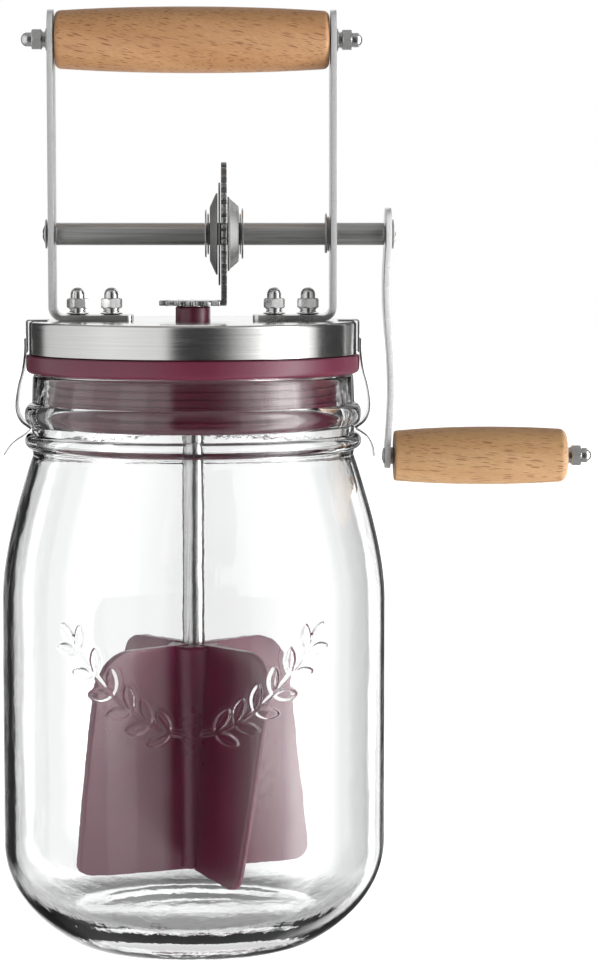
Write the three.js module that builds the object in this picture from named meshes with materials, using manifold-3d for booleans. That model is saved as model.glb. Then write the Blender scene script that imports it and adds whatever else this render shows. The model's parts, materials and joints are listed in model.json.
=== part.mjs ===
// Glass butter churn with a hand crank: jar, clipped lid, geared paddle and beech handles.
// Millimetres, +Z up. The origin is the centre of the jar's underside, +X points to the crank,
// and -Y is the front. Pieces that touch on the real object are kept FIT apart.
import * as THREE from "three";
import { mergeVertices } from "three/addons/utils/BufferGeometryUtils.js";
import Module from "manifold-3d";

const wasm = await Module();
wasm.setup();

// ---------------------------------------------------------------- driving dimensions

const FIT = 0.3; // gap between touching pieces
const PAST = 1; // how far a cutting tool runs past the face it cuts
const SIDES = { round: 32, barrel: 20, shaft: 16, small: 10, hex: 6 }; // facets round each turned piece
const STEPS = { rim: 2, corner: 3, bend: 5, curve: 5, end: 12 }; // straight steps in each kind of arc

const JAR = {
  bodyRadius: 69.1, wall: 3.9, footRadius: 46, floor: 6.5,
  heelTop: 34, shoulderFoot: 122, neckFoot: 174.6,
  neckRadius: 57.7, neckWall: 3.9, rimTop: 203.6, rimRound: 1.4,
  bead: { reach: 2.9, height: 6.6, lower: 178.3, upper: 188.6 },
};
// The two middle control points, as [radius, height], of each curve of the jar's section.
const JAR_CURVES = {
  heel: [[60, 8], [JAR.bodyRadius, 20]],
  shoulder: [[JAR.bodyRadius, 137.8], [63.5, 156.7]],
  innerShoulder: [[59.8, 156.7], [JAR.bodyRadius - JAR.wall, 137.8]],
  innerHeel: [[JAR.bodyRadius - JAR.wall, 22], [56, 10.5]],
};

const LID = { radius: 58.8, bottom: 210.6, top: 222.4, sheet: 0.8, corner: 1.2 };

const SEAL = {
  flangeRadius: 59.8, flangeFoot: 204, flangeTop: 210.3, flangeRound: 2.2,
  plateTop: 213, plateFoot: 208.6, plugRadius: 52, plugWall: 3.2, plugFoot: 186.6,
  ribReach: 0.5, ribHeight: 1.2, ribPitch: 5.6, ribs: 3,
};

const BUSH = { radius: 6.25, top: 227.5, bottom: 205, flangeRadius: 12, flangeTop: 221.3 };

const STRAP = { outer: 51.3, thick: 2.1, width: 18.5, top: 333, bend: 5, footEnd: 21.5 };
STRAP.floor = LID.top + FIT;
STRAP.inner = STRAP.outer - STRAP.thick;
STRAP.footTop = STRAP.floor + STRAP.thick;

const FOOT_SCREW_X = [-41.3, -29.2, 29.2, 41.3];
const M4 = { radius: 2, headRadius: 3.6, headHeight: 2.2 };
const HEAD = { edge: 0.35, crown: 0.55 }; // shares of a screw head's height and radius

const NUT = {
  acrossFlats: 7, collarRadius: 2.8, collar: 0.6, hex: 3.5, chamfer: 0.45,
  domeRadius: 2.6, domeStraight: 1.5, boreDepth: 5.2,
};
NUT.corner = NUT.acrossFlats / Math.sqrt(3);

const DISHED = { radius: 4, thick: 0.4, rise: 0.5 }; // the washer under each nut

const HANDLE = { z: 322.3, length: 97.6, endRadius: 10.35, midRadius: 11.85, corner: 2.2 };
// A barrel's swell: its curve's control points as shares of the swell and of the length.
const BARREL = { swell: 1.25, pull: 0.32 };

const SHAFT = {
  z: 253.4, radius: 4, journal: 2.8, left: -48, journalEnd: -51.6, right: 68.7,
  chamfer: 0.6, square: 5, squareLength: 2, squareRoot: 2, screwBore: 2, boreDepth: 9, grooveDepth: 0.7,
};
const RETAINER = { mouth: 0.85, outerSteps: 16, innerSteps: 11 }; // mouth: its width over the bore's

const WHEEL = {
  x: 11.15, thick: 2, teeth: 30, tip: 25.55, root: 22.9, tipWidth: 1.4, rootWidth: 2.6,
};
const PINION = {
  foot: 227.8, thick: 1.8, teeth: 14, tip: 12.4, root: 9.3, tipWidth: 1.1, rootWidth: 1.9,
};

const DISC = { radius: 18.35, left: 9.2, right: 9.85 };
// Each dished clutch plate runs from its flat end, away from the wheel, to its rim beside it.
const CLUTCH = {
  sheet: 0.9, rimEdge: 0.5, innerCorner: 0.55,
  left: { flat: 6.1, flatRadius: 9.6, rim: 8.9, rimRadius: 14.6 },
  right: { flat: 16.5, flatRadius: 9.8, rim: 12.45, rimRadius: 13.3 },
};
const SHAFT_WASHERS = {
  clutch_washer_left: { from: 5.25, to: 5.8, radius: 7.3 },
  clutch_washer_right: { from: 16.8, to: 17.2, radius: 7.3 },
  bracket_washer: { from: 48.3, to: 48.9, radius: 6.2 },
};
const SHAFT_RINGS = {
  clutch_ring_left: { from: 4.4, to: 4.95, radius: 8.8 },
  clutch_ring_right: { from: 17.5, to: 18.05, radius: 9.3 },
  bracket_ring: { from: 47.4, to: 48, radius: 7.4 },
};

const END_SCREW = { head: 3.4, headHeight: 1.4, shank: 1.7, length: 7 };
const END_WASHER = { radius: 5.3, thick: 0.5, rise: 0.5 };

const ARM = {
  inner: 69, thick: 2, topRadius: 9.4, endRadius: 4.6, reach: 79.8,
  upperWave: { from: 250, to: 219, depth: -0.7 },
  lowerWave: { from: 219, to: 177, depth: 1.1 },
  levels: 26, leastHalfWidth: 0.4,
};
ARM.outer = ARM.inner + ARM.thick;
ARM.gripZ = SHAFT.z - ARM.reach;

const GRIP = {
  left: 72.4, right: 134.9, leftRadius: 9.1, midRadius: 10.5, rightRadius: 9.65,
  leftCorner: 0.8, rightCorner: 3, bore: 2.5,
};
const GRIP_BOLT = { radius: 2, head: 2.9, headHeight: 0.9, spacerRadius: 3.1 };

const PADDLE = {
  blades: 4, firstAzimuth: -60, twist: 20, thick: 2.8, inset: 2,
  bottom: 23, top: 106, tipRadiusLow: 45, tipRadiusHigh: 43.6,
  lowerCorner: 5.5, shoulder: 14, cornerSteps: 5, sideSteps: 8,
  hubTop: 10, hubMid: 6.2, hubFoot: 5.8, hubMidZ: 60, hubEdge: 1, boreEnd: 66,
};
const PADDLE_SHAFT = { radius: 4, neck: 2.5, ringZ: 203.4, ringThick: 0.6, ringRadius: 7.4 };

const CLIP = {
  width: 16, sheet: 0.4, plateX: 59.3, plateEnd: 51.9, plateFoot: 211.3, stripX: 60,
  bodySteps: 18, tailSteps: 7,
};
// The strip's bends from its riveted top down to the vee that sits in the jar's groove.
const CLIP_BODY = [
  [216.3, 0], [211.8, 0], [205, 0.85], [199.5, 2.3], [193.5, 3.2], [189.6, 2.9], [186.4, 1.3],
];
const CLIP_VEE = [184, -1.8];
const CLIP_TAIL = {
  left: [[181.9, 0.4], [179.9, 3.5], [177.3, 6.1], [174.4, 7.9]],
  right: [[182.6, 0.5], [180.6, 2.9], [177.2, 4.5], [173.6, 5]],
};

const FINISHES = {
  glass: { color: 0xdfeaea, roughness: 0.05, metalness: 0, transparent: true, opacity: 0.35 },
  maroon: { color: 0x6e3a4c, roughness: 0.45, metalness: 0 },
  brushed: { color: 0xb4b4b4, roughness: 0.35, metalness: 1 },
  strap: { color: 0xb9b9b9, roughness: 0.4, metalness: 1 },
  polished: { color: 0xd8d8d8, roughness: 0.15, metalness: 1 },
  darkSteel: { color: 0x5e5e5e, roughness: 0.4, metalness: 1 },
  beech: { color: 0xc2935f, roughness: 0.6, metalness: 0 },
};

// ---------------------------------------------------------------- shaping helpers

const X = new THREE.Vector3(1, 0, 0);
const Y = new THREE.Vector3(0, 1, 0);
const Z = new THREE.Vector3(0, 0, 1);
const CYCLE = new THREE.Matrix4().makeBasis(Y, Z, X); // turns X into Y, Y into Z and Z into X
const ALONG_Y = new THREE.Matrix4().makeBasis(X, Z, Y.clone().negate());

function solidOf(geometry) {
  const bare = new THREE.BufferGeometry();
  bare.setAttribute("position", geometry.getAttribute("position"));
  bare.setIndex(geometry.index);
  const merged = mergeVertices(bare, 1e-4);
  const corners = [];
  for (let i = 0; i < merged.index.count; i += 3) {
    const [a, b, c] = [merged.index.getX(i), merged.index.getX(i + 1), merged.index.getX(i + 2)];
    if (a !== b && b !== c && c !== a) corners.push(a, b, c);
  }
  const vertProperties = merged.attributes.position.array;
  const mesh = new wasm.Mesh({ numProp: 3, vertProperties, triVerts: new Uint32Array(corners) });
  return new wasm.Manifold(mesh);
}

function geometryOf(solid) {
  const mesh = solid.getMesh();
  const geometry = new THREE.BufferGeometry();
  geometry.setAttribute("position", new THREE.BufferAttribute(mesh.vertProperties, 3));
  geometry.setIndex(new THREE.BufferAttribute(mesh.triVerts, 1));
  return geometry;
}

const join = (...pieces) => geometryOf(pieces.map(solidOf).reduce((a, b) => a.add(b)));
const cut = (piece, ...tools) =>
  geometryOf(tools.map(solidOf).reduce((a, b) => a.subtract(b), solidOf(piece)));
const common = (a, b) => geometryOf(solidOf(a).intersect(solidOf(b)));

// A solid of revolution about +Z from [radius, height] pairs, drawn anticlockwise.
function turned(profile, sides) {
  const points = profile.map(([radius, height]) => new THREE.Vector2(radius, height));
  return new THREE.LatheGeometry(points, sides).applyMatrix4(CYCLE);
}

const aboutX = (geometry, x = 0, z = SHAFT.z) => geometry.clone().applyMatrix4(CYCLE).translate(x, 0, z);
// Takes a piece of the right-hand side to the left-hand side.
const halfTurn = (geometry) => geometry.clone().rotateZ(Math.PI);

function rod(radius, from, to, sides = SIDES.shaft) {
  return turned([[0, from], [radius, from], [radius, to], [0, to]], sides);
}

function ring(inner, outer, from, to, sides = SIDES.shaft) {
  return turned([[inner, from], [outer, from], [outer, to], [inner, to], [inner, from]], sides);
}

// A washer whose outer edge stands rise above its inner edge.
function dishedWasher(inner, outer, thick, rise, sides = SIDES.shaft) {
  return turned([[inner, 0], [outer, rise], [outer, rise + thick], [inner, thick], [inner, 0]], sides);
}

function extruded(shape, depth) {
  return new THREE.ExtrudeGeometry(shape, { depth, bevelEnabled: false });
}

// A round-headed screw along +Z: the head's flat side is at 0 and its shank runs down from it.
function screw(headRadius, headHeight, shank, length) {
  return turned([
    [0, -length], [shank, -length], [shank, 0], [headRadius, 0], [headRadius, headHeight * HEAD.edge],
    [headRadius * HEAD.crown, headHeight], [0, headHeight],
  ], SIDES.small);
}

// Joins rings of points, all of one count, into a closed solid.
function lofted(rings) {
  const count = rings[0].length;
  const positions = rings.flat(2);
  const index = [];
  for (let level = 0; level + 1 < rings.length; level++) {
    for (let i = 0; i < count; i++) {
      const [a, b] = [level * count + i, level * count + ((i + 1) % count)];
      index.push(a, b, b + count, a, b + count, a + count);
    }
  }
  const last = (rings.length - 1) * count;
  for (let i = 1; i + 1 < count; i++) {
    index.push(0, i + 1, i);
    index.push(last, last + i, last + i + 1);
  }
  const geometry = new THREE.BufferGeometry();
  geometry.setAttribute("position", new THREE.Float32BufferAttribute(positions, 3));
  geometry.setIndex(index);
  return geometry;
}

function bezier(points, steps) {
  const curve = new THREE.CubicBezierCurve(...points.map(([x, y]) => new THREE.Vector2(x, y)));
  return curve.getPoints(steps).map((point) => [point.x, point.y]);
}

function arc(centreX, centreY, radius, from, to, steps) {
  const points = [];
  for (let i = 0; i <= steps; i++) {
    const angle = THREE.MathUtils.degToRad(from + ((to - from) * i) / steps);
    points.push([centreX + radius * Math.cos(angle), centreY + radius * Math.sin(angle)]);
  }
  return points;
}

const shapeOf = (points) => new THREE.Shape(points.map(([x, y]) => new THREE.Vector2(x, y)));

// ---------------------------------------------------------------- assembly helpers

const churn = new THREE.Group();
churn.name = "butter_churn";

function place(name, geometry, finish) {
  const mesh = new THREE.Mesh(geometry, new THREE.MeshStandardMaterial(FINISHES[finish]));
  mesh.name = name;
  churn.add(mesh);
}

// ---------------------------------------------------------------- jar

function beadPoints(centreZ) {
  const half = JAR.bead.height / 2;
  return arc(0, 0, 1, -90, 90, STEPS.corner + 1).map(([out, up]) => [
    JAR.neckRadius + JAR.bead.reach * out,
    centreZ + half * up,
  ]);
}

function jarGeometry() {
  const { bodyRadius, wall, heelTop, footRadius, shoulderFoot, neckFoot, neckRadius, floor } = JAR;
  const { rimTop, rimRound } = JAR;
  const inside = bodyRadius - wall;
  const mouth = neckRadius - JAR.neckWall;
  const { heel, shoulder, innerShoulder, innerHeel } = JAR_CURVES;
  const outer = [
    [0, 0],
    ...bezier([[footRadius, 0], ...heel, [bodyRadius, heelTop]], STEPS.curve),
    ...bezier([[bodyRadius, shoulderFoot], ...shoulder, [neckRadius, neckFoot]], STEPS.curve),
    ...beadPoints(JAR.bead.lower),
    ...beadPoints(JAR.bead.upper),
    ...arc(neckRadius - rimRound, rimTop - rimRound, rimRound, 0, 90, STEPS.rim),
  ];
  const inner = [
    ...arc(mouth + rimRound, rimTop - rimRound, rimRound, 90, 180, STEPS.rim),
    ...bezier([[mouth, neckFoot], ...innerShoulder, [inside, shoulderFoot]], STEPS.curve),
    ...bezier([[inside, heelTop], ...innerHeel, [footRadius - floor, floor]], STEPS.curve),
    [0, floor],
  ];
  return turned([...outer, ...inner], SIDES.round);
}

place("glass_jar", jarGeometry(), "glass");

// ---------------------------------------------------------------- lid, seal and bush

function lidGeometry() {
  const { radius, bottom, top, sheet, corner } = LID;
  const bend = arc(radius - corner, top - corner, corner, 0, 90, STEPS.corner);
  const cap = turned([
    [radius - sheet, bottom], [radius, bottom], ...bend,
    [BUSH.radius + FIT, top], [BUSH.radius + FIT, top - sheet], [radius - sheet, top - sheet],
    [radius - sheet, bottom],
  ], SIDES.round);
  const hole = rod(M4.radius + FIT, bottom, top + PAST, SIDES.small);
  return cut(cap, ...FOOT_SCREW_X.map((x) => hole.clone().translate(x, 0, 0)));
}

function sealGeometry() {
  const { flangeRadius, flangeFoot, flangeTop, flangeRound, plateTop, plateFoot, plugRadius } = SEAL;
  const hole = BUSH.radius + FIT;
  const ribs = [];
  for (let i = 0; i < SEAL.ribs; i++) {
    const z = SEAL.plugFoot + SEAL.ribHeight + i * SEAL.ribPitch;
    ribs.push([plugRadius, z], [plugRadius + SEAL.ribReach, z + SEAL.ribHeight / 2]);
    ribs.push([plugRadius, z + SEAL.ribHeight]);
  }
  return turned([
    [hole, plateFoot], [plugRadius - SEAL.plugWall, plateFoot],
    [plugRadius - SEAL.plugWall, SEAL.plugFoot], [plugRadius, SEAL.plugFoot],
    ...ribs, [plugRadius, flangeFoot],
    ...arc(flangeRadius - flangeRound, flangeFoot + flangeRound, flangeRound, -90, 0, STEPS.corner),
    [flangeRadius, flangeTop], [LID.radius - LID.sheet - FIT, flangeTop],
    [LID.radius - LID.sheet - FIT, plateTop], [hole, plateTop], [hole, plateFoot],
  ], SIDES.round);
}

function bushGeometry() {
  const bore = PADDLE_SHAFT.radius + FIT;
  const flangeFoot = SEAL.plateTop + FIT;
  return turned([
    [bore, BUSH.bottom], [BUSH.radius, BUSH.bottom], [BUSH.radius, flangeFoot],
    [BUSH.flangeRadius, flangeFoot], [BUSH.flangeRadius, BUSH.flangeTop], [BUSH.radius, BUSH.flangeTop],
    [BUSH.radius, BUSH.top], [bore, BUSH.top], [bore, BUSH.bottom],
  ], SIDES.shaft);
}

place("lid_cap", lidGeometry(), "brushed");
place("lid_seal", sealGeometry(), "maroon");
place("shaft_bush", bushGeometry(), "maroon");

// ---------------------------------------------------------------- brackets and their fasteners

// The right-hand bracket, with shaftHole the radius of its bearing hole.
function bracketGeometry(shaftHole) {
  const { outer, inner, thick, floor, footTop, footEnd, bend, top, width } = STRAP;
  const profile = shapeOf([
    [footEnd, floor], ...arc(outer - bend, floor + bend, bend, -90, 0, STEPS.bend), [outer, top],
    [inner, top], ...arc(outer - bend, floor + bend, bend - thick, 0, -90, STEPS.bend),
    [footEnd, footTop],
  ]);
  const strap = extruded(profile, width).applyMatrix4(ALONG_Y).translate(0, width / 2, 0);
  const half = width / 2;
  const face = shapeOf([[-half, 0], [half, 0], ...arc(0, top - half, half, 0, 180, STEPS.end)]);
  const rounded = common(strap, extruded(face, outer * 2).applyMatrix4(CYCLE));
  const acrossX = (radius, z) => aboutX(rod(radius, 0, outer * 2), 0, z);
  const screwHole = rod(M4.radius + FIT, floor - PAST, footTop + PAST, SIDES.small);
  const screwHoles = FOOT_SCREW_X.filter((x) => x > 0).map((x) => screwHole.clone().translate(x, 0, 0));
  return cut(rounded, acrossX(shaftHole, SHAFT.z), acrossX(M4.radius + FIT, HANDLE.z), ...screwHoles);
}

function acornNut() {
  const { corner, collar, hex, chamfer, collarRadius, domeRadius, domeStraight } = NUT;
  const [foot, middle, head] = [collar, collar + hex / 2, collar + hex];
  const body = turned([
    [0, foot], [corner - chamfer, foot], [corner, foot + chamfer],
    [corner, head - chamfer], [corner - chamfer, head], [0, head],
  ], SIDES.hex);
  const dome = turned([
    [0, 0], [collarRadius, 0], [collarRadius, middle], [domeRadius, middle],
    ...arc(0, head + domeStraight, domeRadius, 0, 90, STEPS.corner),
  ], SIDES.small);
  return cut(join(body, dome), rod(M4.radius + FIT, -PAST, NUT.boreDepth, SIDES.small));
}

const nut = acornNut();
const nutWasher = dishedWasher(M4.radius + FIT, DISHED.radius, DISHED.thick, DISHED.rise, SIDES.small);
const washerStack = FIT + DISHED.thick + FIT;

place("bracket_left", halfTurn(bracketGeometry(SHAFT.journal + FIT)), "strap");
place("bracket_right", bracketGeometry(SHAFT.radius + FIT), "strap");

FOOT_SCREW_X.forEach((x, i) => {
  const headTop = LID.top - LID.sheet - FIT;
  const length = STRAP.footTop + washerStack + NUT.boreDepth - FIT - headTop;
  const footScrew = screw(M4.headRadius, M4.headHeight, M4.radius, length).rotateX(Math.PI);
  place(`foot_screw_${i + 1}`, footScrew.translate(x, 0, headTop), "polished");
  place(`foot_washer_${i + 1}`, nutWasher.clone().translate(x, 0, STRAP.footTop + FIT), "darkSteel");
  place(`foot_nut_${i + 1}`, nut.clone().translate(x, 0, STRAP.footTop + washerStack), "polished");
});

// ---------------------------------------------------------------- top handle

// A turned wooden barrel about +Z with a bore: its radius swells from each end to the middle.
function barrel(length, [lowEnd, highEnd], middle, [lowCorner, highCorner], bore) {
  const { swell, pull } = BARREL;
  const side = bezier([
    [lowEnd, lowCorner], [THREE.MathUtils.lerp(lowEnd, middle, swell), length * pull],
    [THREE.MathUtils.lerp(highEnd, middle, swell), length * (1 - pull)], [highEnd, length - highCorner],
  ], STEPS.curve);
  const lowRound = arc(lowEnd - lowCorner, lowCorner, lowCorner, -90, 0, STEPS.corner);
  const highRound = arc(highEnd - highCorner, length - highCorner, highCorner, 0, 90, STEPS.corner);
  return turned([
    [bore, 0], ...lowRound.slice(0, -1), ...side, ...highRound.slice(1), [bore, length], [bore, 0],
  ], SIDES.barrel);
}

const handleEnds = [HANDLE.endRadius, HANDLE.endRadius];
const handleCorners = [HANDLE.corner, HANDLE.corner];
const handleBore = M4.radius + FIT;
const handleBarrel = barrel(HANDLE.length, handleEnds, HANDLE.midRadius, handleCorners, handleBore);
const rodReach = STRAP.outer + washerStack + NUT.boreDepth - FIT;

place("top_handle", aboutX(handleBarrel, -HANDLE.length / 2, HANDLE.z), "beech");
place("handle_rod", aboutX(rod(M4.radius, -rodReach, rodReach, SIDES.small), 0, HANDLE.z), "polished");
for (const [side, turn] of [["left", halfTurn], ["right", (geometry) => geometry]]) {
  const washer = aboutX(nutWasher, STRAP.outer + FIT, HANDLE.z);
  place(`handle_washer_${side}`, turn(washer), "darkSteel");
  place(`handle_nut_${side}`, turn(aboutX(nut, STRAP.outer + washerStack, HANDLE.z)), "polished");
}

// ---------------------------------------------------------------- crank shaft

function shaftGeometry() {
  const { radius, journal, left, journalEnd, right, chamfer, square, squareLength, squareRoot } = SHAFT;
  const profile = [
    [0, journalEnd], [journal, journalEnd], [journal, left], [radius - chamfer, left],
    [radius, left + chamfer],
  ];
  const groove = radius - SHAFT.grooveDepth;
  for (const { from, to } of Object.values(SHAFT_RINGS)) {
    profile.push([radius, from - FIT], [groove, from - FIT], [groove, to + FIT], [radius, to + FIT]);
  }
  profile.push([radius, right - chamfer], [radius - chamfer, right], [0, right]);
  const end = new THREE.BoxGeometry(square, square, squareLength + squareRoot);
  end.translate(0, 0, right + (squareLength - squareRoot) / 2);
  const bores = [
    rod(SHAFT.screwBore, journalEnd - PAST, journalEnd + SHAFT.boreDepth, SIDES.small),
    rod(SHAFT.screwBore, right - SHAFT.boreDepth, right + squareLength + PAST, SIDES.small),
  ];
  return aboutX(cut(join(turned(profile, SIDES.shaft), end), ...bores));
}

// A C-shaped retaining ring, open at its foot, that snaps into a groove of a shaft.
function retainingRing(radius, shaftRadius, thick) {
  const bore = shaftRadius - SHAFT.grooveDepth + FIT;
  const outerGap = THREE.MathUtils.radToDeg(Math.asin((bore * RETAINER.mouth) / radius));
  const boreGap = THREE.MathUtils.radToDeg(Math.asin(RETAINER.mouth));
  const outline = [
    ...arc(0, 0, radius, -90 + outerGap, 270 - outerGap, RETAINER.outerSteps),
    ...arc(0, 0, bore, 270 - boreGap, -90 + boreGap, RETAINER.innerSteps),
  ];
  return extruded(shapeOf(outline), thick);
}

function clutchPlate({ flat, flatRadius, rim, rimRadius }) {
  const out = Math.sign(rim - flat);
  const bore = SHAFT.radius + FIT;
  const { sheet, rimEdge, innerCorner } = CLUTCH;
  const inside = flat + out * sheet;
  const profile = [
    [bore, flat], [flatRadius, flat], [rimRadius, rim - out * rimEdge], [rimRadius, rim],
    [rimRadius - sheet, rim], [flatRadius - innerCorner, inside], [bore, inside], [bore, flat],
  ];
  return aboutX(turned(out > 0 ? profile : profile.reverse(), SIDES.barrel));
}

place("crank_shaft", shaftGeometry(), "darkSteel");
place("clutch_plate_left", clutchPlate(CLUTCH.left), "darkSteel");
place("clutch_plate_right", clutchPlate(CLUTCH.right), "darkSteel");
const disc = ring(SHAFT.radius + FIT, DISC.radius, DISC.left, DISC.right, SIDES.barrel);
place("backing_disc", aboutX(disc), "darkSteel");
for (const [name, { from, to, radius }] of Object.entries(SHAFT_WASHERS)) {
  place(name, aboutX(ring(SHAFT.radius + FIT, radius, from, to)), "darkSteel");
}
for (const [name, { from, to, radius }] of Object.entries(SHAFT_RINGS)) {
  place(name, aboutX(retainingRing(radius, SHAFT.radius, to - from), from), "polished");
}

// ---------------------------------------------------------------- gears

// A spur gear blank along +Z with its first tooth pointing along its own local +X.
function gearPlate({ teeth, tip, root, tipWidth, rootWidth, thick }, bore, firstTooth) {
  const outline = [];
  for (let i = 0; i < teeth; i++) {
    const middle = firstTooth + (i * 360) / teeth;
    const corner = (radius, width, side) => {
      const angle = THREE.MathUtils.degToRad(middle) + side * Math.asin(width / 2 / radius);
      return [radius * Math.cos(angle), radius * Math.sin(angle)];
    };
    outline.push(corner(root, rootWidth, -1), corner(tip, tipWidth, -1));
    outline.push(corner(tip, tipWidth, 1), corner(root, rootWidth, 1));
  }
  return cut(extruded(shapeOf(outline), thick), rod(bore, -PAST, thick + PAST));
}

// One wheel tooth points straight down into the pinion's gap that faces the wheel.
const wheelBlank = gearPlate(WHEEL, SHAFT.radius + FIT, -90);
const pinionBlank = gearPlate(PINION, PADDLE_SHAFT.neck + FIT, 180 / PINION.teeth);
place("gear_wheel", aboutX(wheelBlank, WHEEL.x - WHEEL.thick / 2), "darkSteel");
place("pinion", pinionBlank.translate(0, 0, PINION.foot), "darkSteel");

// ---------------------------------------------------------------- crank arm and end fasteners

function armBend(z) {
  for (const { from, to, depth } of [ARM.upperWave, ARM.lowerWave]) {
    if (z < from && z > to) return depth * Math.sin((Math.PI * (from - z)) / (from - to));
  }
  return 0;
}

// Half the arm's width at height z: two round ends joined by their common tangents.
function armHalfWidth(z) {
  const slope = Math.asin((ARM.topRadius - ARM.endRadius) / ARM.reach);
  const topTouch = SHAFT.z + ARM.topRadius * Math.sin(slope);
  const endTouch = ARM.gripZ + ARM.endRadius * Math.sin(slope);
  if (z >= topTouch) return Math.sqrt(Math.max(0, ARM.topRadius ** 2 - (z - SHAFT.z) ** 2));
  if (z <= endTouch) return Math.sqrt(Math.max(0, ARM.endRadius ** 2 - (z - ARM.gripZ) ** 2));
  const share = (z - endTouch) / (topTouch - endTouch);
  return THREE.MathUtils.lerp(ARM.endRadius, ARM.topRadius, share) * Math.cos(slope);
}

function armGeometry() {
  const rings = [];
  const [low, high] = [ARM.gripZ - ARM.endRadius, SHAFT.z + ARM.topRadius];
  for (let i = 0; i <= ARM.levels; i++) {
    // The levels crowd towards both ends, where the outline turns.
    const share = (1 - Math.cos((Math.PI * i) / ARM.levels)) / 2;
    const z = THREE.MathUtils.lerp(low, high, share);
    const half = Math.max(armHalfWidth(z), ARM.leastHalfWidth);
    const x = ARM.inner + armBend(z);
    rings.push([[x, -half, z], [x + ARM.thick, -half, z], [x + ARM.thick, half, z], [x, half, z]]);
  }
  const hole = SHAFT.square + 2 * FIT;
  const squareHole = new THREE.BoxGeometry(ARM.thick * 4, hole, hole).translate(ARM.inner, 0, SHAFT.z);
  const boltHole = rod(GRIP_BOLT.radius + FIT, -ARM.thick, ARM.thick * 2, SIDES.small);
  return cut(lofted(rings), squareHole, aboutX(boltHole, ARM.inner, ARM.gripZ));
}

place("crank_arm", armGeometry(), "strap");

const endBore = END_SCREW.shank + FIT;
const endWasher = dishedWasher(endBore, END_WASHER.radius, END_WASHER.thick, END_WASHER.rise);
const endScrew = screw(END_SCREW.head, END_SCREW.headHeight, END_SCREW.shank, END_SCREW.length);
const screwSeat = FIT + END_WASHER.thick + FIT;
place("crank_washer", aboutX(endWasher, ARM.outer + FIT), "polished");
place("crank_screw", aboutX(endScrew, ARM.outer + screwSeat), "polished");
place("shaft_end_washer", halfTurn(aboutX(endWasher, -SHAFT.journalEnd + FIT)), "polished");
place("shaft_end_screw", halfTurn(aboutX(endScrew, -SHAFT.journalEnd + screwSeat)), "polished");

// ---------------------------------------------------------------- crank grip

const nutFace = GRIP.right + FIT;
const boltLength = nutFace + NUT.boreDepth - FIT - ARM.inner + FIT;
const gripBolt = screw(GRIP_BOLT.head, GRIP_BOLT.headHeight, GRIP_BOLT.radius, boltLength);
const gripBarrel = barrel(
  GRIP.right - GRIP.left, [GRIP.leftRadius, GRIP.rightRadius], GRIP.midRadius,
  [GRIP.leftCorner, GRIP.rightCorner], GRIP.bore,
);
const [spacerLeft, spacerRight] = [ARM.outer + FIT, GRIP.left - FIT];
const spacer = ring(GRIP_BOLT.radius + FIT, GRIP_BOLT.spacerRadius, spacerLeft, spacerRight, SIDES.small);
place("grip_bolt", aboutX(gripBolt.rotateX(Math.PI), ARM.inner - FIT, ARM.gripZ), "darkSteel");
place("grip_spacer", aboutX(spacer, 0, ARM.gripZ), "darkSteel");
place("crank_grip", aboutX(gripBarrel, GRIP.left, ARM.gripZ), "beech");
place("grip_nut", aboutX(nut, nutFace, ARM.gripZ), "polished");

// ---------------------------------------------------------------- paddle

function paddleShaftGeometry() {
  const { radius, neck, ringZ, ringThick } = PADDLE_SHAFT;
  const groove = radius - SHAFT.grooveDepth;
  const [foot, shoulder, top] = [PADDLE.boreEnd + FIT, PINION.foot - FIT, PINION.foot + PINION.thick];
  const [grooveFoot, grooveTop] = [ringZ - FIT, ringZ + ringThick + FIT];
  return turned([
    [0, foot], [radius, foot], [radius, grooveFoot], [groove, grooveFoot], [groove, grooveTop],
    [radius, grooveTop], [radius, shoulder], [neck, shoulder], [neck, top], [0, top],
  ], SIDES.shaft);
}

// [tip radius, height] up the blade's outer edge: lower corner, sloping side, round shoulder.
function bladeEdge() {
  const { tipRadiusLow, tipRadiusHigh, lowerCorner, shoulder, cornerSteps, sideSteps } = PADDLE;
  const [sideFoot, sideTop] = [PADDLE.bottom + lowerCorner, PADDLE.top - shoulder];
  const edge = arc(tipRadiusLow - lowerCorner, sideFoot, lowerCorner, -90, 0, cornerSteps);
  for (let i = 1; i < sideSteps; i++) {
    const share = i / sideSteps;
    const radius = THREE.MathUtils.lerp(tipRadiusLow, tipRadiusHigh, share);
    edge.push([radius, THREE.MathUtils.lerp(sideFoot, sideTop, share)]);
  }
  return [...edge, ...arc(tipRadiusHigh - shoulder, sideTop, shoulder, 0, 90, cornerSteps)];
}

// A blade whose azimuth turns steadily with height, so that every level is a straight radial bar.
function blade(azimuth) {
  const half = PADDLE.thick / 2;
  const middle = (PADDLE.bottom + PADDLE.top) / 2;
  const rings = bladeEdge().map(([tipRadius, z]) => {
    const turn = (PADDLE.twist * (z - middle)) / (PADDLE.top - PADDLE.bottom);
    const angle = THREE.MathUtils.degToRad(azimuth + turn);
    const [cos, sin] = [Math.cos(angle), Math.sin(angle)];
    const corners = [[PADDLE.inset, -half], [tipRadius, -half], [tipRadius, half], [PADDLE.inset, half]];
    return corners.map(([out, across]) => [out * cos - across * sin, out * sin + across * cos, z]);
  });
  return lofted(rings);
}

function paddleGeometry() {
  const { bottom, top, hubTop, hubMid, hubFoot, hubMidZ, hubEdge, boreEnd, blades } = PADDLE;
  const hub = turned([
    [0, bottom], [hubFoot, bottom], [hubMid, hubMidZ], [hubTop, top - hubEdge],
    [hubTop - hubEdge, top], [0, top],
  ], SIDES.shaft);
  const fins = [];
  for (let i = 0; i < blades; i++) fins.push(blade(PADDLE.firstAzimuth + (i * 360) / blades));
  return cut(join(hub, ...fins), rod(PADDLE_SHAFT.radius + FIT, boreEnd, top + PAST));
}

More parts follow.
